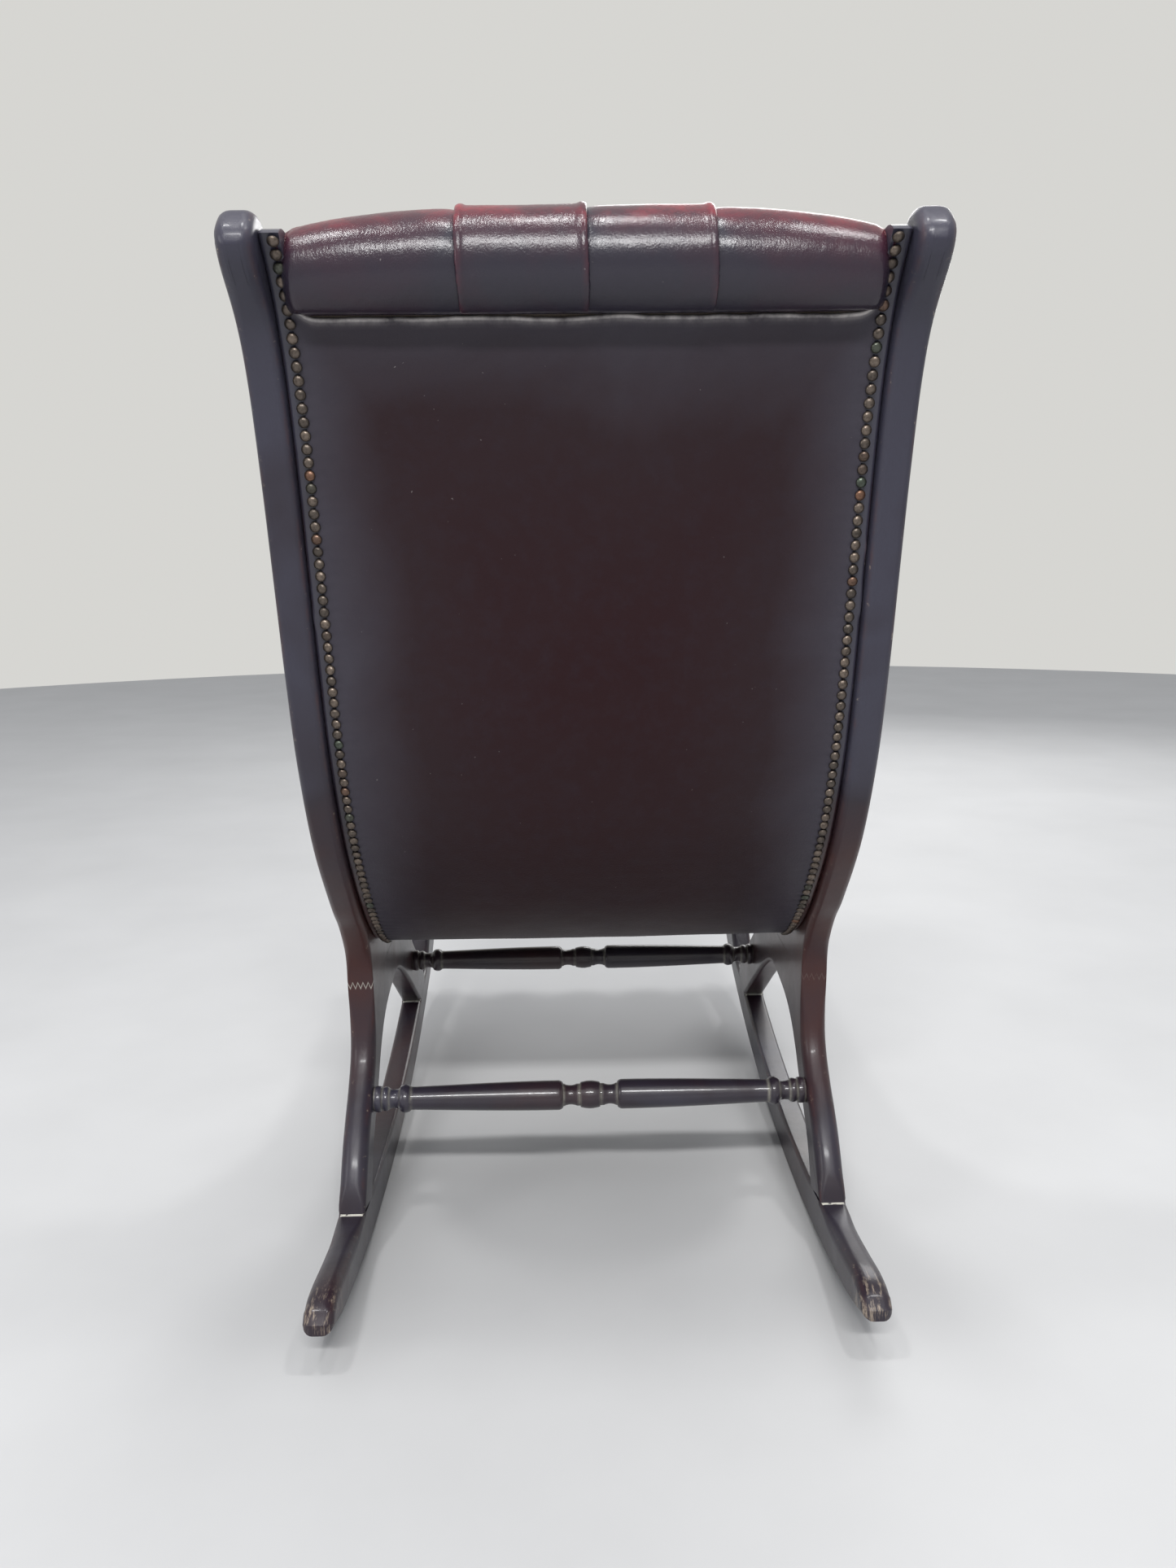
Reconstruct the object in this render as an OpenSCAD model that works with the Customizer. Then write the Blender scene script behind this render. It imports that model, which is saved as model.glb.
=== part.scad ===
// Button back rocking chair: an S-curved back and slipper seat, upholstered in buttoned
// leather between two show-wood side frames that stand on rockers.
// The sitter faces -Y, X runs across the chair and Z is up. Side outlines are drawn as
// [q, v]: q runs backwards from the line where the rockers rest, v is the height.

/* [Side frames] */
// Width over the two side frames
chair_w = 600; // [560:5:660]
// Thickness of the side frames and rockers
frame_t = 32; // [28:1:38]
// Height of the waist, where stile and rear leg are finger-jointed
waist_h = 290; // [284:1:296]
// Distance of the waist behind the line of rest
waist_set = 58; // [54:1:64]
// Rise of the stile from the waist to the arris under its scroll
back_rise = 779; // [740:1:820]
// Rake of the stile over that rise
back_rake = 383; // [360:1:405]
// Width of the stile across the neck under its scroll
neck_w = 42; // [38:1:46]
// Width of the stile along the back
stile_w = 50; // [46:1:56]
// Width of the stile where it sweeps into the seat
hip_w = 58; // [54:1:64]
// Width of the seat rail above its sweep line
rail_w = 45; // [41:1:52]
// Radius of the scrolls on the stiles and seat rails
knob_r = 27; // [24:1:30]
// Height of a tooth of the finger joint
tooth_h = 8; // [5:1:11]

/* [Seat line] */
// Length of the seat rail's sweep line ahead of the line of rest
seat_run = 500; // [480:1:520]
// Rise of that line over the waist at its front end
seat_lift = 42; // [36:1:48]

/* [Legs] */
// Depth of wood between the waist and the arch between the legs
arch_deep = 53; // [44:1:62]
// Distance of the arch's apex ahead of the line of rest
arch_run = 134; // [124:1:144]
// Rear edge of the rear foot behind the line of rest
rear_foot_back = 192; // [184:1:200]
// Width of the rear foot along the rocker
rear_foot_w = 55; // [48:1:62]
// Rear edge of the front foot ahead of the line of rest
front_foot_run = 392; // [384:1:400]
// Width of the front foot along the rocker
front_foot_w = 63; // [56:1:70]

/* [Rockers] */
// Radius that the chair rocks on
rocker_r = 1700; // [1500:10:2200]
// Depth of a rocker
rocker_deep = 46; // [40:1:52]
// Length of a rocker behind the line of rest
tail_run = 397; // [370:1:420]
// Distance of the toe scroll's centre ahead of the line of rest
toe_run = 588; // [575:1:605]
// Height of the toe scroll's centre
toe_h = 148; // [142:1:156]
// Radius of the toe scroll
toe_r = 34; // [30:1:38]

/* [Stretchers] */
// Largest diameter of a turned stretcher
turn_d = 36; // [32:1:40]
// Diameter of the small end of its tapers
taper_d = 28; // [24:1:30]
// Diameter of its coves
cove_d = 23; // [19:1:26]
// Diameter of its tenons
tenon_d = 16; // [12:1:18]
// Length of its tenons
tenon_len = 20; // [14:1:22]
// Rear stretcher's distance behind the line of rest
rear_bar_set = 90; // [84:1:96]
// Front stretcher's distance ahead of the line of rest
front_bar_run = 318; // [310:1:326]

/* [Inner frame] */
// Step in from the stile's rear edge to the outside-back leather
recess = 10; // [7:1:13]
// Thickness of the leather
hide_t = 2; // [1.5:0.1:2.5]
// Thickness of the inner rails that the leather is nailed to
lath_t = 17.5; // [16:0.5:22]
// Depth of the inner rails
lath_deep = 26; // [22:1:30]
// Width of the crest rail
crest_wide = 44; // [36:1:48]
// Thickness of the crest rail
crest_thick = 26; // [20:1:28]
// Width of the rear seat rail
rear_rail_w = 52; // [40:1:60]
// Thickness of the front seat rail
front_rail_t = 26; // [20:1:30]
// Height of the front seat rail
front_rail_deep = 44; // [36:1:50]
// Diameter of the dowels
dowel_d = 10; // [8:1:11]
// Length of the dowels
dowel_len = 40; // [30:2:44]

/* [Upholstery] */
// Thickness of the webbing
web_t = 1.6; // [1.2:0.1:2]
// Width of the webbing
web_w = 50; // [40:1:55]
// Thickness of the hessian
hessian_t = 0.8; // [0.6:0.1:1]
// Thickness of the back's stuffing
back_stuff = 18; // [14:1:24]
// Thickness of the seat's stuffing
seat_stuff = 30; // [24:1:36]
// Spacing of the buttons across the chair
button_pitch = 107; // [100:1:114]
// Spacing of the button rows along the back
back_pitch = 93; // [86:1:98]
// Spacing of the button rows along the seat
seat_pitch = 86; // [80:1:90]
// Height of a buttoned diamond over its pleats
puff_h = 14; // [8:1:18]
// Height of the pleats over the buttons
pleat_h = 4; // [2:1:6]
// Diameter of a button
button_d = 18; // [14:1:20]
// Crown of the head roll over its ends
head_crown = 18; // [10:1:22]
// Dome of the outside-back leather
panel_dome = 5; // [2:1:8]
// Radius of the seat's front edge
front_r = 34; // [28:1:38]

/* [Nails] */
// Diameter of a nail's dome
nail_d = 10.4; // [9:0.1:11]
// Spacing of the nails
nail_pitch = 11.8; // [11.2:0.1:13]
// Distance of the nail line from the side frame
nail_in = 12.5; // [11:0.5:14]

/* [Hidden] */
$fn = 48;

mahogany = "#2b161a";
oxblood = "#4d141b";
beech = "#c49a63";
jute = "#b59d6c";
brass = "#86744a";

// Clearances and glue lines
fit = 0.3;
glue = 0.15;
slack = 0.15;
over = 1;
feel = 8;

// Places of the frame
inner_x = chair_w / 2 - frame_t;
mid_x = chair_w / 2 - frame_t / 2;
lath_x = inner_x - lath_t;
nail_x = inner_x - nail_in;
scroll_turn = 3;
arris = [waist_set + back_rake, waist_h + back_rise];
knob_mid = arris - knob_r * [cos(scroll_turn), sin(scroll_turn)];
rear_end = knob_mid.x + knob_r;
front_end = toe_run + toe_r;
shift_y = (front_end - rear_end) / 2;
arch_h = waist_h - arch_deep;
// Heights of the rear and front stretchers, in shares of the waist's
bar_shares = [0.5276, 0.6483];
rear_bar_h = bar_shares[0] * waist_h;
front_bar_h = bar_shares[1] * waist_h;

// Sweep line: the rear and under edge of stile and seat rail, in shares of the back's
// rake and rise, then of the seat's run and lift
back_shares = [
    [1, 1], [0.888, 0.94], [0.804, 0.863], [0.739, 0.76], [0.679, 0.642],
    [0.621, 0.526], [0.543, 0.403], [0.407, 0.273], [0.214, 0.16]
];
seat_shares = [
    [-0.14, 1.52], [-0.02, 0.76], [0.12, 0.43], [0.32, 0.36], [0.56, 0.45], [0.8, 0.67], [1, 1]
];
// Rear edge from the back down to the waist, in shares of the rake and rise
waist_shares = [[0.112, 0.112], [0.042, 0.067], [0.01, 0.033], [0, 0]];

function bend(a, b, c, d, t) =
    (2 * b + (c - a) * t + (2 * a - 5 * b + 4 * c - d) * t * t
        + (3 * b - a - 3 * c + d) * t * t * t) / 2;
function spline(p, n) = [
    for (i = [0 : len(p) - 2])
        for (k = [0 : n - 1])
            bend(p[max(i - 1, 0)], p[i], p[i + 1], p[min(i + 2, len(p) - 1)], k / n),
    p[len(p) - 1]
];
function between(a, b, list) = [
    for (m = list) [a.x + (b.x - a.x) * m.x, a.y + (b.y - a.y) * m.y]
];
function reversed(p) = [for (i = [len(p) - 1 : -1 : 0]) p[i]];
function arc(c, r, a, b, n) = [
    for (k = [0 : n]) let (w = a + (b - a) * k / n) c + r * [cos(w), sin(w)]
];
function runs(p) = [
    for (i = 0, s = 0; i < len(p); s = s + norm(p[min(i + 1, len(p) - 1)] - p[i]), i = i + 1) s
];

// A track is a line with its length measured along it. place() gives the point at a
// length s and a distance off it, on the sitter's side
function track(p) = let (r = runs(p)) [
    [for (i = [0 : len(p) - 1]) [r[i], p[i].x]],
    [for (i = [0 : len(p) - 1]) [r[i], p[i].y]],
    r[len(p) - 1]
];
function spot(t, s) = [lookup(s, t[0]), lookup(s, t[1])];
function heading(t, s) = let (d = spot(t, s + feel) - spot(t, s - feel)) d / norm(d);
function place(t, s, off) = let (d = heading(t, s)) spot(t, s) + off * [d.y, -d.x];
function strip_line(t, a, b, off, n) = [for (k = [0 : n]) place(t, a + (b - a) * k / n, off)];
function strip(t, a, b, low, high, n) =
    concat(strip_line(t, a, b, low, n), reversed(strip_line(t, a, b, high, n)));
function s_at_run(t, run) = lookup(run, [for (i = [0 : len(t[0]) - 1]) [-t[0][i][1], t[0][i][0]]]);

back_points = between([waist_set, waist_h], arris, back_shares);
seat_points = between([0, waist_h], [-seat_run, waist_h + seat_lift], seat_shares);
sweep = track(spline(concat(back_points, seat_points), 8));
back_len = runs(spline(back_points, 8))[8 * (len(back_points) - 1)];

// Width of stile and seat rail at stations along the sweep line, in shares of the back
width_shares = [0.07, 0.4, 0.9, 1.04, 1.34];
widths = [neck_w, stile_w, hip_w, hip_w, rail_w];
function width_at(s) = lookup(s, [for (i = [0 : 4]) [width_shares[i] * back_len, widths[i]]]);

// The joint of stile and seat rail, ahead of the line of rest
side_joint = 10;
function side_edge(a, b, n) = [
    for (k = [0 : n]) let (s = a + (b - a) * k / n) place(sweep, s, width_at(s))
];
function edge_at_run(run) = lookup(run, [for (p = side_edge(back_len, sweep[2], 60)) [-p.x, p.y]]);

// Puts a side outline into place: extruded by t from x, or its mirror image
module side(x, t) {
    translate([x, shift_y, 0]) rotate([90, 0, 90]) linear_extrude(t) children();
}
module sided(hand) {
    if (hand > 0) children();
    else mirror([1, 0, 0]) children();
}
module across(half, outline) {
    side(-half, 2 * half) polygon(outline);
}
// A round peg across the side frame's plane, from x to x + len
module peg_x(p, x, len, d) {
    translate([x, p.x + shift_y, p.y]) rotate([0, 90, 0]) cylinder(h = len, d = d);
}
// A round peg in the side frame's plane, centred on p and turned by angle from the
// vertical towards the rear
module peg(p, x, angle, len, d) {
    translate([x, p.x + shift_y, p.y]) rotate([-angle, 0, 0])
        cylinder(h = len, d = d, center = true);
}

// Dowels of the side frame: [place, angle from the vertical]
dowel_up_shares = [0.26, 0.68];
function joint_dowels() = concat(
    [for (m = dowel_up_shares)
        [[-side_joint, waist_h + m * (edge_at_run(side_joint) - waist_h)], 90]],
    [
        [[-arch_run / 2 - side_joint / 2, waist_h], 0],
        [[-arch_run - front_foot_w, waist_h], 0],
        [[-arch_run, (arch_h + waist_h) / 2], 90],
        [[rear_foot_back - rear_foot_w / 2, rocker_top(rear_foot_back - rear_foot_w / 2)], 0],
        [[-front_foot_run - front_foot_w / 2, rocker_top(front_foot_run + front_foot_w / 2)], 0]
    ]
);
module frame_pegs(d, len) {
    for (j = joint_dowels()) peg(j[0], mid_x, j[1], len, d);
}
module bar_sockets() {
    socket = tenon_len + over;
    peg_x([rear_bar_set, rear_bar_h], inner_x - over, socket + over, tenon_d + fit);
    peg_x([-front_bar_run, front_bar_h], inner_x - over, socket + over, tenon_d + fit);
}

// Screws through the inner rails into stile and seat rail, in shares of the sweep line
screw_shares = [0.09, 0.24, 0.38, 0.52, 0.73, 0.82, 0.92];
screw_d = 4;
screw_len = 34;
screw_head_d = 8;
screw_head_h = 2.6;
peg_off = recess + hide_t + lath_deep - 0.8 * dowel_d;
module rail_screws(clear) {
    for (m = screw_shares) {
        p = place(sweep, m * sweep[2], peg_off);
        sunk = lath_x + slack;
        peg_x(p, sunk, screw_len + clear, screw_d + clear);
        translate([sunk - clear, p.x + shift_y, p.y]) rotate([0, 90, 0])
            cylinder(h = screw_head_h + clear, d1 = screw_head_d + 2 * clear, d2 = screw_d + clear);
    }
}

// Zigzag that parts stile from rear leg, drawn across the thickness of the frame
teeth = 5;
module zigzag(up) {
    step = frame_t / (2 * teeth);
    far = up * 2 * tooth_h;
    line = [for (k = [0 : 2 * teeth])
        [inner_x + k * step, waist_h + (k % 2 == 0 ? tooth_h : -tooth_h) / 2]];
    edge = concat(
        [[inner_x - over, waist_h + tooth_h / 2]], line,
        [[chair_w / 2 + over, waist_h + tooth_h / 2],
            [chair_w / 2 + over, waist_h + far], [inner_x - over, waist_h + far]]
    );
    reach = waist_set + side_joint + 2 * over;
    translate([0, shift_y + waist_set + over, 0]) rotate([90, 0, 0]) linear_extrude(reach)
        polygon(edge);
}

module stile() {
    rear = spline(concat(back_points, between([waist_set, waist_h], arris, waist_shares)), 8);
    low = waist_h - tooth_h / 2;
    edge = [for (p = side_edge(knob_r, sweep[2], 110)) if (p.x > -side_joint) p];
    outline = concat(
        rear,
        [[waist_set, low], [-side_joint, low], [-side_joint, edge_at_run(side_joint)]],
        reversed(edge),
        arc(knob_mid, knob_r, 132, scroll_turn + 9, 13)
    );
    difference() {
        side(inner_x, frame_t) polygon(outline);
        zigzag(-1);
        frame_pegs(dowel_d + fit, dowel_len + fit);
        rail_screws(slack);
    }
}

// Under edge of the seat rail ahead of the legs, in shares of its run and rise
under_shares = [[0, 0], [0.25, 0], [0.54, 0.1], [0.81, 0.5], [0.95, 0.94]];
front_knob = [-seat_run, waist_h + seat_lift + rail_w - knob_r];
front_turns = [258, 80];
leg_head_run = 240;
module seat_side() {
    under = spline(between([-leg_head_run, waist_h],
        [-seat_run, front_knob.y - knob_r], under_shares), 6);
    edge = [for (p = side_edge(back_len, sweep[2], 80))
        if (p.x < -side_joint && p.x > -seat_run + knob_r / 3) p];
    outline = concat(
        [[-side_joint, waist_h + glue]],
        [for (p = under) [p.x, p.y + glue]],
        arc(front_knob, knob_r, front_turns[0], front_turns[1], 16),
        reversed(edge),
        [[-side_joint, edge_at_run(side_joint)]]
    );
    difference() {
        side(inner_x, frame_t) polygon(outline);
        frame_pegs(dowel_d + fit, dowel_len + fit);
        rail_screws(slack);
    }
}

// Rocker: bottom on its radius with a short flat in the middle, top parallel to it
rocker_step = 26;
toe_turns = [238, 62];
function rocker_line(q) =
    sqrt(pow(rocker_r, 2) - pow(rocker_step / 2, 2)) - sqrt(pow(rocker_r, 2) - pow(q, 2));
function rocker_top(q) = rocker_line(q) + rocker_deep;
// Tail behind the rear foot: [share of its length, share of the rocker's depth]
tail_shares = [[0, 1], [0.23, 0.93], [0.53, 0.88], [0.72, 0.85], [0.85, 0.75], [0.94, 0.54], [1, 0.26]];
throat_shares = [[0.06, 0], [0.29, 0.065], [0.56, 0.355], [0.8, 0.72]];
function foot_line(a, b, n) = [
    for (k = [0 : n]) let (q = a + (b - a) * k / n) [q, rocker_top(q) + glue]
];

rear_leg_back_shares = [
    [0, 0], [0.015, 0.162], [0.119, 0.362], [0.313, 0.498], [0.507, 0.596],
    [0.7, 0.706], [0.896, 0.86], [1, 1]
];
rear_leg_front_shares = [
    [0, 0], [0.29, 0.06], [0.458, 0.151], [0.583, 0.286], [0.686, 0.443],
    [0.845, 0.654], [0.93, 0.805], [1, 1]
];
module rear_leg() {
    back_foot = [rear_foot_back, rocker_top(rear_foot_back) + glue];
    front_q = rear_foot_back - rear_foot_w;
    front_foot = [front_q, rocker_top(front_q) + glue];
    apex = [-arch_run, arch_h];
    high = waist_h + tooth_h / 2;
    outline = concat(
        [[waist_set, high]],
        spline(between([waist_set, waist_h], back_foot, rear_leg_back_shares), 5),
        foot_line(rear_foot_back, front_q, 3),
        reversed(spline(between(apex, front_foot, rear_leg_front_shares), 5)),
        [[-arch_run, waist_h], [-side_joint, waist_h], [-side_joint, high]]
    );
    difference() {
        side(inner_x, frame_t) polygon(outline);
        zigzag(1);
        frame_pegs(dowel_d + fit, dowel_len + fit);
        bar_sockets();
    }
}

front_leg_back_shares = [[0, 0], [0.16, 0.07], [0.372, 0.262], [0.643, 0.567], [1, 1]];
front_leg_front_shares = [
    [0, 0], [0.1, 0.133], [0.316, 0.328], [0.54, 0.517], [0.767, 0.711], [0.94, 0.894], [1, 1]
];
module front_leg() {
    back_q = front_foot_run;
    front_q = front_foot_run + front_foot_w;
    apex = [-arch_run - glue, arch_h];
    outline = concat(
        [[-arch_run - glue, waist_h]],
        spline(between(apex, [-back_q, rocker_top(back_q) + glue], front_leg_back_shares), 6),
        foot_line(-back_q, -front_q, 3),
        reversed(spline(between([-leg_head_run, waist_h],
            [-front_q, rocker_top(front_q) + glue], front_leg_front_shares), 5))
    );
    difference() {
        side(inner_x, frame_t) polygon(outline);
        frame_pegs(dowel_d + fit, dowel_len + fit);
        bar_sockets();
    }
}

module rocker() {
    tail_k = floor(tail_run / rocker_step);
    toe_k = floor((toe_run - toe_r) / rocker_step);
    front_q = front_foot_run + front_foot_w;
    toe = [-toe_run, toe_h];
    tail_len = tail_run - rear_foot_back;
    outline = concat(
        [[tail_run, rocker_line(tail_run)]],
        [for (k = [tail_k : -1 : -toe_k]) let (q = (k - 0.5) * rocker_step) [q, rocker_line(q)]],
        arc(toe, toe_r, toe_turns[0], toe_turns[1], 16),
        reversed(spline(between([-front_q, rocker_top(front_q)],
            toe + toe_r * [cos(toe_turns[1]), sin(toe_turns[1])], throat_shares), 4)),
        [for (k = [toe_k : -1 : -tail_k]) let (q = -k * rocker_step)
            if (q > -front_q && q < rear_foot_back - over) [q, rocker_top(q)]],
        [for (m = spline(tail_shares, 4)) let (q = rear_foot_back + m.x * tail_len)
            [q, rocker_line(q) + m.y * rocker_deep]]
    );
    difference() {
        side(inner_x, frame_t) polygon(outline);
        frame_pegs(dowel_d + fit, dowel_len + fit);
    }
}

module stile_left() color(mahogany) stile();
module stile_right() color(mahogany) sided(-1) stile();
module seat_side_left() color(mahogany) seat_side();
module seat_side_right() color(mahogany) sided(-1) seat_side();
module rear_leg_left() color(mahogany) rear_leg();
module rear_leg_right() color(mahogany) sided(-1) rear_leg();
module front_leg_left() color(mahogany) front_leg();
module front_leg_right() color(mahogany) sided(-1) front_leg();
module rocker_left() color(mahogany) rocker();
module rocker_right() color(mahogany) sided(-1) rocker();
module frame_dowels() color(beech)
    for (hand = [1, -1]) sided(hand) frame_pegs(dowel_d, dowel_len);

// Turned stretcher, from its end collar inwards: [share of the half length, diameter]
collar_d = 32;
bead_d = 29;
bar_ball_d = 34;
fillet_d = 27;
half_bar_shares = [0, 0.01, 0.03, 0.038, 0.046, 0.062, 0.069, 0.085, 0.108, 0.117, 0.125,
    0.142, 0.159, 0.166, 0.182];
half_bar_d = [0.92 * collar_d, collar_d, collar_d, 0.88 * bead_d, bead_d, bead_d, 0.9 * bead_d,
    cove_d, cove_d, fillet_d, 0.95 * bar_ball_d, bar_ball_d, 0.95 * bar_ball_d, taper_d, taper_d];
mid_bar_shares = [0.84, 0.855, 0.862, 0.87, 0.885, 0.91, 0.932, 0.945, 0.952, 0.965, 0.98, 1];
mid_bar_d = [turn_d, 0.94 * turn_d, 0.8 * turn_d, fillet_d, cove_d, cove_d, fillet_d, fillet_d,
    0.86 * bar_ball_d, 0.95 * bar_ball_d, bar_ball_d, bar_ball_d];
module stretcher(p) {
    ends = concat([for (i = [0 : len(half_bar_shares) - 1]) [half_bar_shares[i], half_bar_d[i]]],
        [for (i = [0 : len(mid_bar_shares) - 1]) [mid_bar_shares[i], mid_bar_d[i]]]);
    far = inner_x + tenon_len;
    profile = concat(
        [[0, -far], [tenon_d / 2, -far], [tenon_d / 2, -inner_x]],
        [for (m = ends) [m[1] / 2, -inner_x * (1 - m[0])]],
        [for (i = [len(ends) - 2 : -1 : 0]) [ends[i][1] / 2, inner_x * (1 - ends[i][0])]],
        [[tenon_d / 2, inner_x], [tenon_d / 2, far], [0, far]]
    );
    translate([0, p.x + shift_y, p.y]) rotate([0, 90, 0]) rotate_extrude() polygon(profile);
}
module rear_stretcher() color(mahogany) stretcher([rear_bar_set, rear_bar_h]);
module front_stretcher() color(mahogany) stretcher([-front_bar_run, front_bar_h]);

// Layers of the upholstery, as distances off the sweep line
lath_low = recess + hide_t;
lath_high = lath_low + lath_deep;
web_low = lath_high + fit;
web_high = web_low + 2 * web_t + fit;
hessian_low = web_high + fit;
stuff_low = hessian_low + hessian_t + fit;
back_low = stuff_low + back_stuff + 2 * fit;
seat_low = stuff_low + seat_stuff + 2 * fit;

// Stations along the sweep line
head_s = 84;
panel_top_s = 72;
crease_s = back_len + hip_w + stile_w;
panel_end_s = s_at_run(sweep, -side_joint / 2) + over;
rail_end_run = seat_run - recess - hide_t - over;
rail_end_s = s_at_run(sweep, rail_end_run);
front_lean = heading(sweep, rail_end_s).y;
function front_s(off) = s_at_run(sweep, rail_end_run + off * front_lean);
function front_strip(a, low, high, n) = concat(
    strip_line(sweep, a, front_s(low) - over, low, n),
    reversed(strip_line(sweep, a, front_s(high) - over, high, n))
);
front_rail_back_s = s_at_run(sweep, rail_end_run - front_rail_t);

// Nails, and the holes for their shanks
nail_h = 2.8;
nail_shank_d = 1.6;
nail_shank_len = 12;
nail_first_s = 10;
nail_count = floor((panel_end_s - nail_first_s) / nail_pitch);
module at_sweep(x, s, off) {
    p = place(sweep, s, off);
    d = heading(sweep, s);
    translate([x, p.x + shift_y, p.y]) rotate([atan2(d.y, d.x), 0, 0]) children();
}
module nail_holes() {
    for (k = [0 : nail_count])
        at_sweep(nail_x, nail_first_s + k * nail_pitch, lath_low - over)
            mirror([0, 0, 1]) cylinder(h = nail_shank_len + over, d = nail_shank_d + fit, $fn = 16);
}
module dome(d, h) {
    r = (pow(d / 2, 2) + pow(h, 2)) / (2 * h);
    intersection() {
        translate([0, 0, h - r]) sphere(r = r);
        cylinder(h = 2 * h, d = 2 * d);
    }
}
module nails() {
    for (k = [0 : nail_count])
        at_sweep(nail_x, nail_first_s + k * nail_pitch, recess - 1.5 * fit) {
            dome(nail_d, nail_h);
            translate([0, 0, -nail_shank_len + over])
                cylinder(h = nail_shank_len, d = nail_shank_d, $fn = 16);
        }
}
module nails_left() color(brass) nails();
module nails_right() color(brass) sided(-1) nails();

// Inner rail, with a rounded top end
lath_lead_s = 4;
lath_crown_s = 18;
module inner_rail() {
    crown = [for (k = [0 : 6]) let (t = k / 6)
        place(sweep, lath_lead_s + lath_crown_s * t * t, lath_low + lath_deep * t)];
    outline = concat(
        reversed(crown),
        strip_line(sweep, 2 * lath_lead_s, front_s(lath_low), lath_low, 90),
        reversed(strip_line(sweep, knob_r, front_s(lath_high), lath_high, 90))
    );
    difference() {
        side(lath_x, lath_t) polygon(outline);
        nail_holes();
        rail_screws(slack);
        cross_pegs(dowel_d + fit, fit);
        block_screw_set(slack);
    }
}
module inner_rail_left() color(mahogany) inner_rail();
module inner_rail_right() color(mahogany) sided(-1) inner_rail();
module inner_rail_screws() color("silver")
    for (hand = [1, -1]) sided(hand) rail_screws(0);

// Head roll: an ellipse round the crest rail, run from the rear seam over the top
head_set = 68;
head_drop = 18;
head_mid = arris - [head_set, head_drop];
head_a = 38;
head_b = 31;
head_from = -70;
head_to = 190;
function head_oval(grow, n) = [
    for (k = [0 : n]) let (w = head_from + (head_to - head_from) * k / n)
        head_mid + [(head_a + grow) * cos(w), (head_b + grow) * sin(w)]
];
crest_s = 58;
module crest_block(grow) {
    thick = crest_thick + 2 * grow;
    wide = crest_wide + 2 * grow;
    at_sweep(-lath_x, crest_s, peg_off - dowel_d / 3)
        translate([0, -wide / 2, -thick / 2]) cube([2 * lath_x, wide, thick]);
}
module crest_rail() color(beech) difference() {
    crest_block(0);
    for (hand = [1, -1]) sided(hand) cross_pegs(dowel_d + fit, fit);
}
module head_stuffing() color("tan") difference() {
    across(lath_x - fit, head_oval(-3 * fit, 26));
    crest_block(fit);
    for (hand = [1, -1]) sided(hand) cross_pegs(dowel_d + 2 * fit, fit);
}

// Cross rails and their dowels
rear_rail_s = crease_s - rear_rail_w / 2;
module rear_seat_rail() color(beech) difference() {
    across(lath_x, strip(sweep, rear_rail_s, rear_rail_s + rear_rail_w, lath_low, lath_high, 6));
    for (hand = [1, -1]) sided(hand) cross_pegs(dowel_d + fit, fit);
}
front_rail_top = place(sweep, front_rail_back_s, lath_high).y;
module front_seat_rail() color(beech) difference() {
    translate([-lath_x, shift_y - rail_end_run, front_rail_top - front_rail_deep])
        cube([2 * lath_x, front_rail_t, front_rail_deep]);
    for (hand = [1, -1]) sided(hand) {
        cross_pegs(dowel_d + fit, fit);
        block_screw_set(slack);
    }
}
module cross_pegs(d, extra) {
    start = inner_x - dowel_len;
    spots = [
        place(sweep, crest_s, peg_off),
        place(sweep, rear_rail_s + rear_rail_w * 0.28, peg_off),
        place(sweep, rear_rail_s + rear_rail_w * 0.72, peg_off),
        [-rail_end_run + front_rail_t / 2, front_rail_top - 0.8 * dowel_d]
    ];
    for (p = spots) peg_x(p, start - extra, dowel_len - fit + 2 * extra, d);
}
module cross_rail_dowels() color(beech)
    for (hand = [1, -1]) sided(hand) cross_pegs(dowel_d, 0);

block_leg = 46;
block_h = 18;
block_back_s = s_at_run(sweep, rail_end_run - front_rail_t - block_leg);
block_z = place(sweep, block_back_s, lath_high).y - block_h - over;
block_screw_len = 30;
block_near_share = 0.4;
block_far_share = 0.6;
module block_screw_set(clear) {
    back_y = shift_y - rail_end_run + front_rail_t;
    near = block_near_share * block_leg;
    far = block_far_share * block_leg;
    translate([lath_x - far, back_y + near, block_z + block_h / 2]) rotate([90, 0, 0])
        cylinder(h = block_screw_len + clear, d = screw_d + clear);
    translate([lath_x - near, back_y + far, block_z + block_h / 2]) rotate([0, 90, 0])
        cylinder(h = block_screw_len + clear, d = screw_d + clear);
}
module corner_block() {
    back_y = shift_y - rail_end_run + front_rail_t;
    difference() {
        translate([lath_x, back_y, block_z]) linear_extrude(block_h)
            polygon([[0, 0], [-block_leg, 0], [0, block_leg]]);
        block_screw_set(slack);
    }
}
module corner_block_left() color(beech) corner_block();
module corner_block_right() color(beech) sided(-1) corner_block();
module corner_block_screws() color("silver")
    for (hand = [1, -1]) sided(hand) block_screw_set(0);

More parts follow.
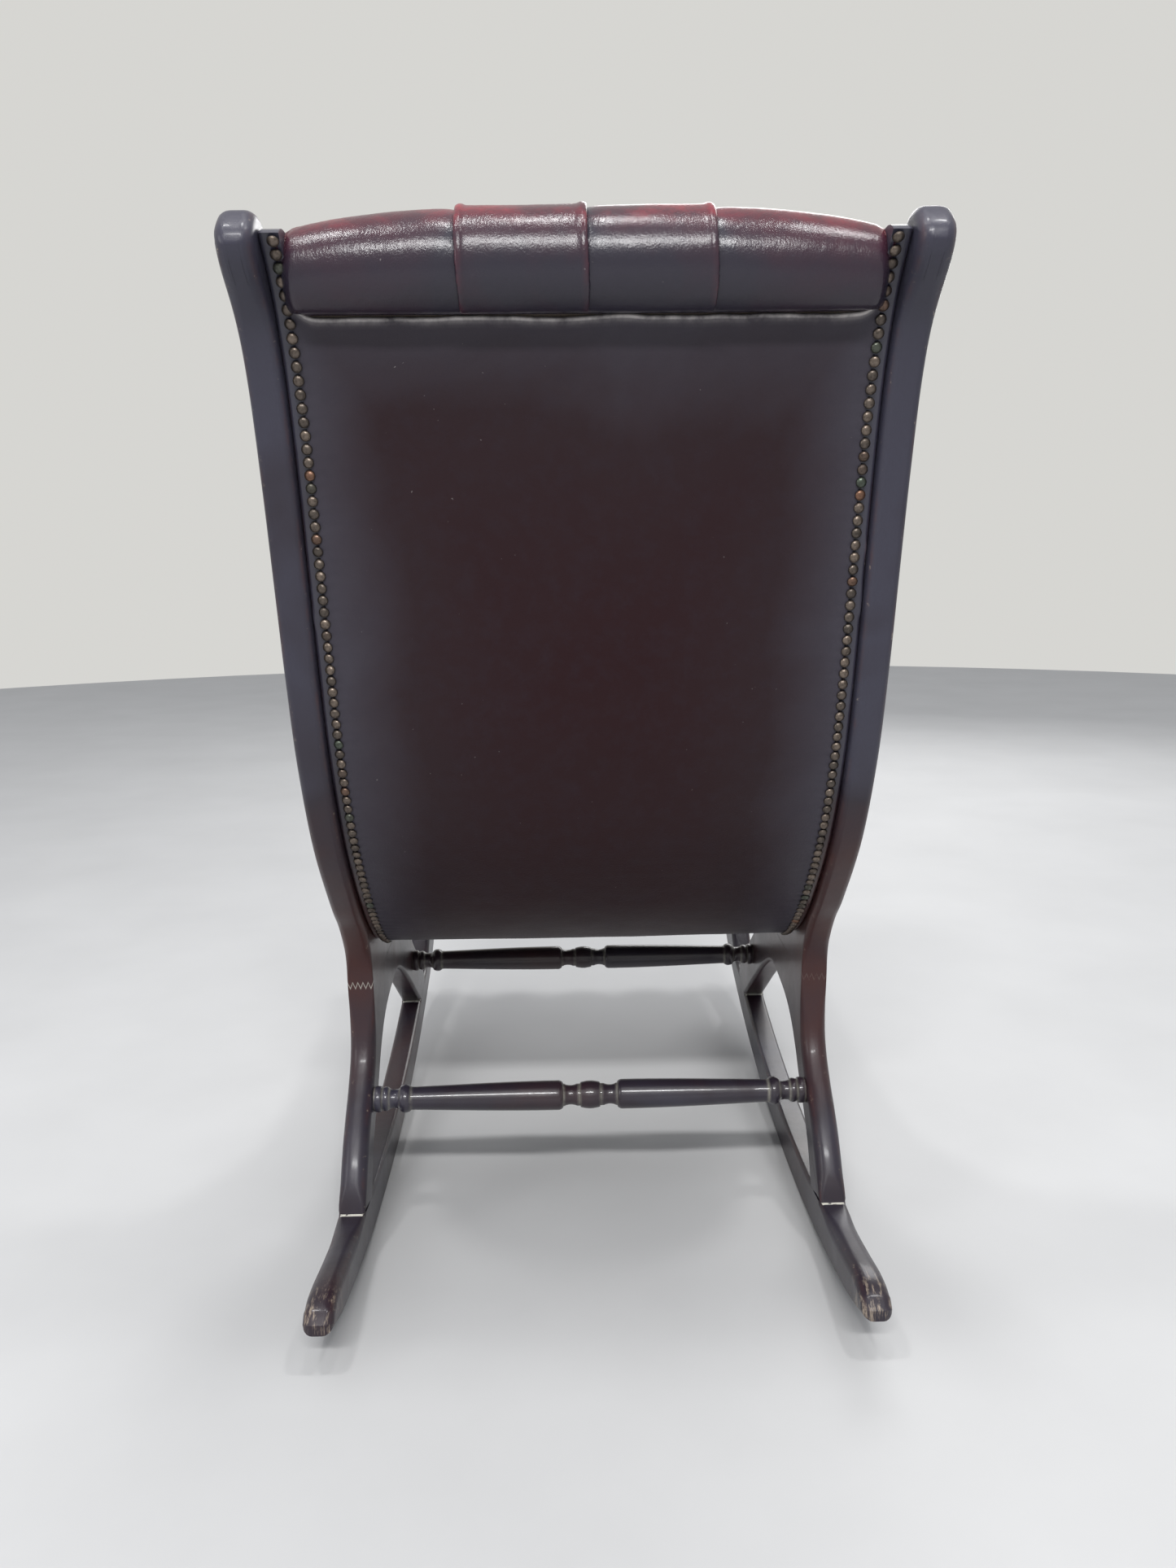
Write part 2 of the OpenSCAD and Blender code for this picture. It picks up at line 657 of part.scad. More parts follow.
// Webbing: bands across on the rails, and bands along over them
web_half = inner_x - over;
module web_bands(from_s, to_s, count, low) {
    step = (to_s - from_s - web_w) / (count - 1);
    for (k = [0 : count - 1]) {
        a = from_s + k * step;
        across(web_half, strip(sweep, a, a + web_w, low, low + web_t, 4));
    }
}
module web_runs(outline, count) {
    step = (2 * lath_x - web_w) / count;
    for (k = [0 : count - 1]) side(-lath_x + (k + 0.5) * step, web_w) polygon(outline);
}
web_over = web_low + web_t + fit;
web_top_s = 2 * head_s;
module back_webbing_across() color(jute)
    web_bands(web_top_s, crease_s - web_w, 6, web_low);
module back_webbing_down() color(jute)
    web_runs(strip(sweep, head_s + web_w, crease_s - fit, web_over, web_over + web_t, 40), 4);
module seat_webbing_across() color(jute)
    web_bands(crease_s + web_w, front_rail_back_s, 4, web_low);
module seat_webbing_along() color(jute)
    web_runs(front_strip(crease_s + fit, web_over, web_over + web_t, 36), 4);

module back_hessian() color(jute)
    across(web_half, strip(sweep, head_s + recess, crease_s - fit, hessian_low,
        hessian_low + hessian_t, 60));
module seat_hessian() color(jute)
    across(web_half, front_strip(crease_s + fit, hessian_low, hessian_low + hessian_t, 50));
module back_stuffing() color("tan")
    across(web_half - over, strip(sweep, head_s + recess, crease_s - 2 * fit, stuff_low,
        stuff_low + back_stuff, 60));

// Seat path: the upper face of the stuffing, round the front edge and down the front
seat_from_s = crease_s + 2 * fit;
face_run = rail_end_run + 4 * fit;
turn_lean = heading(sweep, s_at_run(sweep, face_run - front_r)).y;
seat_turn_s = s_at_run(sweep, face_run - front_r + (seat_low - front_r) * turn_lean);
seat_turn = place(sweep, seat_turn_s, seat_low);
seat_way = heading(sweep, seat_turn_s);
front_axis = seat_turn + front_r * [-seat_way.y, seat_way.x];
front_low = front_rail_top - front_rail_deep;
function seat_line(grow) = concat(
    strip_line(sweep, seat_from_s, seat_turn_s, seat_low + grow, 40),
    arc(front_axis, front_r + grow, atan2(-seat_way.x, seat_way.y), 180, 12)
);
module seat_stuffing() color("tan") {
    front_s = front_s(stuff_low) - over;
    lip = place(sweep, front_s, stuff_low).y + over;
    across(web_half - over, concat(
        reversed(strip_line(sweep, seat_from_s, front_s, stuff_low, 40)),
        [for (p = seat_line(-4 * fit)) if (p.y > lip) p]
    ));
}
module dust_cover() color("#1d1b1c")
    across(lath_x + lath_t / 2, strip(sweep, panel_end_s + over, front_rail_back_s - over,
        lath_low - fit - hessian_t, lath_low - fit, 40));
strip_w = 14;
strip_t = 1.5;
module tack_strip() color("#b8a07a")
    across(lath_x - fit, strip(sweep, panel_top_s + over, panel_top_s + strip_w,
        lath_low + fit, lath_low + fit + strip_t, 2));

// A skin over a track: rows run along the track, columns across the chair. It is closed
// underneath by strips between its two sides. Diagonals follow the pleats, which pass
// through the corners of the grid
module skin(top, low, half, row0, col0, flip) {
    rows = len(top);
    cols = len(top[0]);
    edge = rows * cols;
    first = edge + 2 * rows;
    last = first + cols;
    points = concat(
        [for (r = top) each r],
        [for (i = [0 : rows - 1]) each [[-half, low[i].x, low[i].y], [half, low[i].x, low[i].y]]],
        [for (p = top[0]) [p.x, low[0].x, low[0].y]],
        [for (p = top[rows - 1]) [p.x, low[rows - 1].x, low[rows - 1].y]]
    );
    faces = concat(
        [for (i = [0 : rows - 2]) for (j = [0 : cols - 2])
            let (a = i * cols + j, b = a + 1, c = a + cols, d = c + 1,
                falling = (i - row0 + j - col0 + 1) % (2 * cuts) == 0)
            each falling ? [[a, b, c], [b, d, c]] : [[a, b, d], [a, d, c]]],
        [for (i = [0 : rows - 2]) let (a = i * cols, l = edge + 2 * i)
            each [[a, a + cols, l], [a + cols, l + 2, l]]],
        [for (i = [0 : rows - 2]) let (a = i * cols + cols - 1, r = edge + 2 * i + 1)
            each [[a, r, a + cols], [a + cols, r, r + 2]]],
        [for (i = [1 : rows - 3]) let (l = edge + 2 * i)
            each [[l, l + 2, l + 1], [l + 1, l + 2, l + 3]]],
        [for (j = [0 : cols - 2]) each [[j, first + j, j + 1], [j + 1, first + j, first + j + 1],
            [first + j, edge + 2, first + j + 1]]],
        [[first + cols - 1, edge + 2, edge + 3]],
        [for (j = [0 : cols - 2]) let (t = (rows - 1) * cols + j)
            each [[t, t + 1, last + j], [t + 1, last + j + 1, last + j],
                [last + j, last + j + 1, edge + 2 * rows - 4]]],
        [[last + cols - 1, edge + 2 * rows - 3, edge + 2 * rows - 4]],
        [[edge, edge + 2, first], [edge + 1, first + cols - 1, edge + 3],
            [edge, first, 0], [edge + 1, cols - 1, first + cols - 1]],
        [[edge + 2 * rows - 2, last, edge + 2 * rows - 4],
            [edge + 2 * rows - 1, edge + 2 * rows - 3, last + cols - 1],
            [edge + 2 * rows - 2, (rows - 1) * cols, last],
            [edge + 2 * rows - 1, last + cols - 1, rows * cols - 1]]
    );
    translate([0, shift_y, 0])
        polyhedron(points, flip ? [for (f = faces) [f[0], f[2], f[1]]] : faces);
}

// Buttoned surface. The pleats join buttons in a diamond net; beyond the first and last
// row and the outermost buttons they run straight out to the edges
cuts = 3;
skin_h = 3;
crown_h = 3;
side_r = 34;
col_count = 13;
function hump(t) = abs(sin(180 * t));
function rounded(d, r) = let (t = min(max(d / r, 0), 1)) sqrt(1 - pow(1 - t, 2));
function net(x, s, pitch, rows, odd) =
    let (t = min(max(s, 0), (rows - 1) * pitch),
        u = min(max(x / button_pitch, -1.5), 1.5) + odd / 2,
        a = hump(u + t / (2 * pitch)), b = hump(u - t / (2 * pitch)))
    [pow(a * b, 0.45), sqrt(max(a, b))];
function padding(x, s, pitch, rows, odd, half, ends) =
    let (m = net(x, s, pitch, rows, odd), e = rounded(half - abs(x), side_r) * ends)
    skin_h + e * (crown_h + puff_h * m[0] + pleat_h * m[1]);
function columns(half, edges) = concat(
    [for (e = edges) -half + e],
    [for (k = [-col_count : col_count]) k * button_pitch / (2 * cuts)],
    [for (e = reversed(edges)) half - e]
);
cover_half = inner_x - 1.5 * over;
side_edges = [0, 3 * over, 14 * over];
// Rows of a skin: a lead, the buttoned rows, and the plain run after them in even steps
lead_rows = 3;
function row_stops(first, pitch, rows, total, tail) =
    let (begin = first - pitch / cuts, finish = first + (rows - 1 + 1 / cuts) * pitch)
    concat(
        [0, begin / 2],
        [for (k = [-1 : cuts * (rows - 1) + 1]) first + k * pitch / cuts],
        [for (k = [1 : tail]) finish + (total - finish) * k / tail]
    );

back_rows = 7;
back_path = track(strip_line(sweep, head_s, crease_s - 2 * fit, back_low, 90));
back_first = 66;
module inside_back_leather() color(oxblood) {
    stops = row_stops(back_first, back_pitch, back_rows, back_path[2], 3);
    top = [for (s = stops) [for (x = columns(cover_half, side_edges))
        let (p = place(back_path, s, padding(x, s - back_first, back_pitch, back_rows, 0,
            cover_half + over, rounded(back_path[2] + over - s, side_r))))
        [x, p.x, p.y]]];
    skin(top, [for (s = stops) place(back_path, s, 0)], cover_half, lead_rows,
        len(side_edges) + col_count, false);
}

seat_rows = 5;
seat_path = track(concat(seat_line(0), [[front_axis.x - front_r, front_low]]));
seat_first = 70;
front_cuts = 12;
module seat_leather() color(oxblood) {
    stops = row_stops(seat_first, seat_pitch, seat_rows, seat_path[2], front_cuts);
    top = [for (s = stops) [for (x = columns(cover_half, side_edges))
        let (ends = rounded(seat_path[2] + over - s, side_r) * rounded(s + over, side_r),
            p = place(seat_path, s, padding(x, s - seat_first, seat_pitch, seat_rows, 1,
                cover_half + over, ends)))
        [x, p.x, p.y]]];
    skin(top, [for (s = stops) place(seat_path, s, 0)], cover_half, lead_rows,
        len(side_edges) + col_count, false);
}

head_skin = 5;
head_groove = 3;
head_path = track(head_oval(0, 60));
head_half = lath_x - fit;
head_edges = [0, 4 * over];
module head_roll_leather() color(oxblood) {
    count = 16;
    top = [for (k = [0 : count]) let (s = head_path[2] * k / count,
        lift = (1 + sin(head_from + (head_to - head_from) * k / count)) / 2)
        [for (x = columns(head_half, head_edges))
            let (e = rounded(head_half + 3 * over - abs(x), side_r),
                pleat = min(hump(x / button_pitch) * 2, 1),
                arch = 1 - pow(x / head_half, 2),
                p = place(head_path, s,
                    e * (head_skin + head_crown * lift * arch - head_groove * (1 - pleat) * lift)))
            [x, p.x, p.y]]];
    low = [for (k = [0 : count]) place(head_path, head_path[2] * k / count, 0)];
    skin(top, low, head_half, 0, 0, false);
}

// Outside-back leather: flat on the inner rails, domed to the rear
panel_half = nail_x - nail_shank_d;
panel_flat = nail_x - nail_d / 2 - over;
panel_rows = 40;
module outside_back_leather() color(oxblood) {
    span = panel_end_s - panel_top_s;
    stops = [for (i = [0 : panel_rows]) panel_top_s + span * i / panel_rows];
    sides = [-panel_half, panel_half];
    columns = concat(sides[0], [for (j = [-4 : 4]) panel_flat * j / 4], sides[1]);
    top = [for (i = [0 : panel_rows]) let (t = i / panel_rows)
        [for (x = columns) let (
            dome = panel_dome * sqrt(4 * t * (1 - t)) * (1 - pow(min(abs(x) / panel_flat, 1), 2)),
            p = place(sweep, stops[i], recess - dome))
        [x, p.x, p.y]]];
    low = [for (s = stops) place(sweep, s, lath_low - fit)];
    skin(top, low, panel_half, 0, 0, true);
}

// Buttons: a tapered seat that fits the pleats, under a dome
button_tip = 0.4;
button_cone = 6.2;
button_dome = 4.6;
module button_at(path, s, x) {
    p = place(path, s, skin_h + crown_h + button_tip);
    d = heading(path, s);
    translate([x, p.x + shift_y, p.y]) rotate([atan2(-d.y, -d.x), 0, 0]) {
        cylinder(h = button_cone, d1 = button_tip, d2 = button_d);
        translate([0, 0, button_cone]) dome(button_d, button_dome);
    }
}
module button_rows(path, first, pitch, rows, odd) {
    for (i = [0 : rows - 1]) {
        wide = (i + odd) % 2;
        for (k = [0 : 2 + wide])
            button_at(path, first + i * pitch, (k - 1 - wide / 2) * button_pitch);
    }
}
module back_buttons() color(oxblood)
    button_rows(back_path, back_first, back_pitch, back_rows, 0);
module seat_buttons() color(oxblood)
    button_rows(seat_path, seat_first, seat_pitch, seat_rows, 1);

stile_left();
stile_right();
seat_side_left();
seat_side_right();
rear_leg_left();
rear_leg_right();
front_leg_left();
front_leg_right();
rocker_left();
rocker_right();
rear_stretcher();
front_stretcher();
inner_rail_left();
inner_rail_right();
crest_rail();
rear_seat_rail();
front_seat_rail();
corner_block_left();
corner_block_right();
frame_dowels();
cross_rail_dowels();
inner_rail_screws();
corner_block_screws();
back_webbing_across();
back_webbing_down();
seat_webbing_across();
seat_webbing_along();
back_hessian();
seat_hessian();
head_stuffing();
back_stuffing();
seat_stuffing();
head_roll_leather();
inside_back_leather();
seat_leather();
outside_back_leather();
tack_strip();
dust_cover();
back_buttons();
seat_buttons();
nails_left();
nails_right();
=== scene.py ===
import math
import random

import bmesh
import bpy
from mathutils import Euler, Matrix, Vector, kdtree, noise


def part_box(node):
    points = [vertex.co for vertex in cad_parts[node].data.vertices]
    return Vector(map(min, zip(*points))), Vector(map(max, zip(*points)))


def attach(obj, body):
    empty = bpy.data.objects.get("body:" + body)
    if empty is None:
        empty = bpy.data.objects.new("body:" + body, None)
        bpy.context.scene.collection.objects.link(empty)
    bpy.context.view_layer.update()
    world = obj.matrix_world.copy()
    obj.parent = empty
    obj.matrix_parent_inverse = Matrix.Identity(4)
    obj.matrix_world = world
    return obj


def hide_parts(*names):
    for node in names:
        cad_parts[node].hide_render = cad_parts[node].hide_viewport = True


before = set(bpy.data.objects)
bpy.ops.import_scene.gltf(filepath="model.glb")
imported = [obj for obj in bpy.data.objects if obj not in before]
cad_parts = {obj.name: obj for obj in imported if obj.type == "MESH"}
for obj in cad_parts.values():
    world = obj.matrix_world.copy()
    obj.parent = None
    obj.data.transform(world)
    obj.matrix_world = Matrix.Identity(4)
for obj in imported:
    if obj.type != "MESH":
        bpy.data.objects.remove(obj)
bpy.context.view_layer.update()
print("frame loaded:", len(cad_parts), "nodes")

# Side profiles are in millimetres: q runs back from the line of rest, v is the height.
mm = 0.001
splineSteps = 8
chair = {
    "halfWidth": 300, "frame": 32, "waistHeight": 290, "waistSet": 58, "backRise": 779,
    "backRake": 383, "seatRun": 500, "seatLift": 42, "knob": 27, "toeEnd": 622, "joint": 10,
    "arch": 134, "tooth": 8, "rockerRadius": 1700, "rockerFlat": 13, "rockerDeep": 46,
    "recess": 10, "crease": 108
}
innerX = chair["halfWidth"] - chair["frame"]
backShares = [
    (1, 1), (0.888, 0.94), (0.804, 0.863), (0.739, 0.76), (0.679, 0.642),
    (0.621, 0.526), (0.543, 0.403), (0.407, 0.273), (0.214, 0.16)
]
seatShares = [
    (-0.14, 1.52), (-0.02, 0.76), (0.12, 0.43), (0.32, 0.36), (0.56, 0.45), (0.8, 0.67), (1, 1)
]
arrisTurn = math.radians(3)
arris = (chair["waistSet"] + chair["backRake"], chair["waistHeight"] + chair["backRise"])
knobBack = arris[0] + chair["knob"] * (1 - math.cos(arrisTurn))
shiftY = (chair["toeEnd"] - knobBack) / 2


def bendPoint(a, b, c, d, t):
    return tuple((2 * h + (k - g) * t + (2 * g - 5 * h + 4 * k - m) * t * t
                  + (3 * h - g - 3 * k + m) * t ** 3) / 2 for g, h, k, m in zip(a, b, c, d))


def splineLine(points, steps):
    line, last = [], len(points) - 1
    for i in range(last):
        for k in range(steps):
            line.append(bendPoint(points[max(i - 1, 0)], points[i], points[i + 1],
                                  points[min(i + 2, last)], k / steps))
    return line + [points[-1]]


class Track:  # a side line with its length measured along it
    def __init__(self, points):
        self.points = [Vector(p) for p in points]
        self.lengths = [0.0]
        for a, b in zip(self.points, self.points[1:]):
            self.lengths.append(self.lengths[-1] + (b - a).length)
        self.total = self.lengths[-1]

    def spot(self, s):
        s = min(max(s, 0), self.total)
        low, high = 0, len(self.lengths) - 1
        while high - low > 1:
            middle = (low + high) // 2
            low, high = (middle, high) if self.lengths[middle] <= s else (low, middle)
        t = (s - self.lengths[low]) / (self.lengths[high] - self.lengths[low])
        return self.points[low].lerp(self.points[high], t)

    def heading(self, s, feel=8):
        return (self.spot(s + feel) - self.spot(s - feel)).normalized()

    def place(self, s, off):
        ahead = self.heading(s)
        return self.spot(s) + off * Vector((ahead.y, -ahead.x))


backPoints = [(chair["waistSet"] + chair["backRake"] * a, chair["waistHeight"] + chair["backRise"] * b)
              for a, b in backShares]
seatPoints = [(-chair["seatRun"] * a, chair["waistHeight"] + chair["seatLift"] * b)
              for a, b in seatShares]
sweep = Track(splineLine(backPoints + seatPoints, splineSteps))
backLength = Track(splineLine(backPoints, splineSteps)).total
creaseS = backLength + chair["crease"]


def toWorld(x, p):
    return Vector((x * mm, (p[0] + shiftY) * mm, p[1] * mm))


def smooth(t):
    t = min(max(t, 0.0), 1.0)
    return t * t * (3 - 2 * t)


def quarterRound(t):  # rises from 0 to 1 along a quarter of a circle
    return math.sqrt(max(0.0, 1 - (1 - min(t, 1)) ** 2))


def clearSelection():
    if bpy.context.object and bpy.context.object.mode != "OBJECT":
        bpy.ops.object.mode_set(mode="OBJECT")
    bpy.ops.object.select_all(action="DESELECT")


def pick(*pieces):
    clearSelection()
    for piece in pieces:
        piece.select_set(True)
    bpy.context.view_layer.objects.active = pieces[0]
    return pieces[0]


def addObject(name, data):
    made = bpy.data.objects.new(name, data)
    bpy.context.scene.collection.objects.link(made)
    return made


def openEdit():
    bpy.ops.object.mode_set(mode="EDIT")
    bpy.ops.mesh.select_all(action="SELECT")


def closeEdit():
    bpy.ops.mesh.select_all(action="DESELECT")
    bpy.ops.object.mode_set(mode="OBJECT")


def settle(piece, material, slotName, *nodes):
    piece.data.materials.clear()
    piece.data.materials.append(material)
    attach(piece, "root")
    if nodes:
        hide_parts(*nodes)
    return piece


def paintPoints(piece, name, values):
    layer = piece.data.attributes.new(name, "FLOAT", "POINT")
    layer.data.foreach_set("value", values)


mergeGap = 0.02 * mm
flatTurn = math.radians(0.4)


def copyNode(node, name):
    piece = pick(addObject(name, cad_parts[node].data.copy()))
    openEdit()
    bpy.ops.mesh.remove_doubles(threshold=mergeGap)
    bpy.ops.mesh.dissolve_limited(angle_limit=flatTurn)
    closeEdit()
    return piece


# Camera, floor and light
photoView = {
    "place": (0.0275, 1.55, 0.8195), "right": (-0.99964, 0.02406, -0.01231),
    "forward": (-0.0212, -0.9804, -0.1945), "lens": 27.1
}


def placeCamera():
    right = Vector(photoView["right"]).normalized()
    ahead = Vector(photoView["forward"])
    ahead = (ahead - right * ahead.dot(right)).normalized()
    up = right.cross(ahead)
    camera = addObject("photoCamera", bpy.data.cameras.new("photoCamera"))
    turn = Matrix((right, up, -ahead)).transposed().to_4x4()
    camera.matrix_world = Matrix.Translation(photoView["place"]) @ turn
    camera.data.lens = photoView["lens"]
    camera.data.clip_start = 0.01
    bpy.context.scene.camera = camera


# name: place, aim, width, height, power, seen in gloss
lamps = {
    "rearLamp": ((0.2, 4.6, 4.3), (0, 0.4, 0.9), 3.0, 0.3, 270, True),
    "sideLamp": ((3.2, 1.9, 1.7), (0, 0.1, 0.5), 1.0, 1.6, 22, True),
    "frontLamp": ((-1.2, -3.2, 2.3), (0, -0.1, 0.5), 2.2, 1.6, 60, True),
    "ceilingLampLeft": ((1.0, 0.75, 3.3), (0, 0.35, 0.8), 0.24, 0.24, 16, True),
    "ceilingLampMiddle": ((0.0, 0.6, 3.3), (0, 0.35, 0.8), 0.24, 0.24, 16, True),
    "ceilingLampRight": ((-1.0, 0.75, 3.3), (0, 0.35, 0.8), 0.24, 0.24, 16, True),
    "skyLamp": ((0.0, -3.0, 6.0), (0, -3.0, 0.0), 18.0, 16.0, 270, False)
}
studio = {
    "light": (0.32, 0.335, 0.365, 1), "seen": (0.675, 0.670, 0.645, 1),
    "floorRadius": 7, "floorSides": 96, "floorDark": 0.47, "floorPale": 0.52, "floorRough": 0.7
}


def lightScene():
    for name, (place, aim, width, height, power, mirrored) in lamps.items():
        data = bpy.data.lights.new(name, "AREA")
        data.shape = "RECTANGLE"
        data.size = width
        data.size_y = height
        data.energy = power
        lamp = addObject(name, data)
        lamp.location = place
        lamp.visible_camera = False
        lamp.visible_glossy = mirrored
        lamp.rotation_euler = (Vector(aim) - Vector(place)).to_track_quat("-Z", "Y").to_euler()
    world = bpy.data.worlds.new("studio")
    world.use_nodes = True
    tree = world.node_tree
    camera, glossy, through = (put(tree, "LightPath", {}, "Is " + kind + " Ray")
                               for kind in ("Camera", "Glossy", "Transmission"))
    seen = camera.most(glossy.most(through))
    shade = put(tree, "Mix", {0: seen, 6: studio["light"], 7: studio["seen"]}, 2, data_type="RGBA")
    feed(tree.nodes["Background"], {"Color": shade})
    bpy.context.scene.world = world
    bpy.context.scene.view_settings.view_transform = "Standard"


def layFloor():
    clearSelection()
    bpy.ops.mesh.primitive_circle_add(vertices=studio["floorSides"], radius=studio["floorRadius"],
                                      fill_type="NGON", location=(0, 0, 0))
    floor = bpy.context.object
    floor.name = "studioFloor"
    material, shader, place = newMaterial("floorPaper")
    shade = rampOf(noiseOf(place, 3.0, 5), (0.2, studio["floorDark"]), (0.8, studio["floorPale"]))
    feed(shader, {"Base Color": shade, "Roughness": studio["floorRough"]})
    floor.data.materials.append(material)


# Materials
class Signal:  # an output of a shader node, which sums can be written with
    def __init__(self, socket):
        self.socket = socket
        self.tree = socket.id_data

    def calc(self, operation, *others):
        return put(self.tree, "Math", dict(enumerate((self, *others))), operation=operation)

    def __add__(self, other):
        return self.calc("ADD", other)

    def __sub__(self, other):
        return self.calc("SUBTRACT", other)

    def __rsub__(self, other):
        return self * -1 + other

    def __mul__(self, other):
        return self.calc("MULTIPLY", other)

    def __truediv__(self, other):
        return self.calc("DIVIDE", other)

    def __pow__(self, other):
        return self.calc("POWER", other)

    def __abs__(self):
        return self.calc("ABSOLUTE")

    def __lt__(self, other):
        return self.calc("LESS_THAN", other)

    def __gt__(self, other):
        return self.calc("GREATER_THAN", other)

    def most(self, other):
        return self.calc("MAXIMUM", other)

    def least(self, other):
        return self.calc("MINIMUM", other)

    def clamp(self):
        return put(self.tree, "Clamp", {0: self})

    def mix(self, factor, other):
        return put(self.tree, "Mix", {0: factor, 6: self, 7: other}, 2, data_type="RGBA")


def feed(node, inputs):
    for key, value in inputs.items():
        if isinstance(value, Signal):
            node.id_data.links.new(value.socket, node.inputs[key])
        else:
            node.inputs[key].default_value = value


def put(tree, kind, inputs, output=0, **settings):
    made = tree.nodes.new("ShaderNode" + kind)
    for key, value in settings.items():
        setattr(made, key, value)
    feed(made, inputs)
    return Signal(made.outputs[output])


def newMaterial(name):
    material = bpy.data.materials.new(name)
    material.use_nodes = True
    tree = material.node_tree
    return material, tree.nodes["Principled BSDF"], put(tree, "TexCoord", {}, "Object")


def noiseOf(place, scale, detail=3.0, rough=0.55, twist=0.0):
    return put(place.tree, "TexNoise", {"Vector": place, "Scale": scale, "Detail": detail,
                                        "Roughness": rough, "Distortion": twist}, "Fac")


def rampOf(factor, *stops):
    shade = put(factor.tree, "ValToRGB", {"Fac": factor}, "Color")
    elements = shade.socket.node.color_ramp.elements
    while len(elements) < len(stops):
        elements.new(0.5)
    for element, (place, tone) in zip(elements, stops):
        element.position = place
        element.color = tone if hasattr(tone, "__len__") else (tone, tone, tone, 1)
    return shade


def stretch(place, scale, turn=(0, 0, 0)):
    return put(place.tree, "Mapping", {"Vector": place, "Rotation": turn, "Scale": scale})


def splitOf(place):
    return [put(place.tree, "SeparateXYZ", {"Vector": place}, axis) for axis in "XYZ"]


def layerOf(place, name):
    return put(place.tree, "Attribute", {}, "Fac", attribute_name=name)


def bumpOf(height, distance, strength, normal=None):
    values = {"Height": height, "Distance": distance, "Strength": strength}
    if normal:
        values["Normal"] = normal
    return put(height.tree, "Bump", values, "Normal")


# the cool colour is a painted cool sheen for the upper stiles; the warm colour is partly the wood's red-brown
# tone and partly painted warm floor reflection low down
mahoganyLook = {
    "coolSheen": (0.0400, 0.0395, 0.0600, 1), "dark": (0.0205, 0.0150, 0.0225, 1),
    "warmToneAndFloorSheen": (0.056, 0.0135, 0.0075, 1), "worn": (0.085, 0.030, 0.024, 1),
    "bare": (0.42, 0.34, 0.26, 1), "glue": (0.66, 0.64, 0.57, 1), "dust": (0.21, 0.20, 0.17, 1)
}
# places of the marks and of the painted sheen on the wood, in metres
woodMarks = {
    "floorSheenHeight": 0.36, "coolSheenFrom": 0.55, "tailFrom": 0.425, "tailUnder": 0.13,
    "glueHalf": 0.00075, "glueRear": 0.2820, "glueFront": -0.3010, "glueLength": 0.0035,
    "fillerHalf": 0.0013, "fillerFrom": 0.143, "fillerPitch": 0.0032, "fillerSlope": 2.5,
    "fillerLeft": 0.38, "fillerRight": 0.05
}


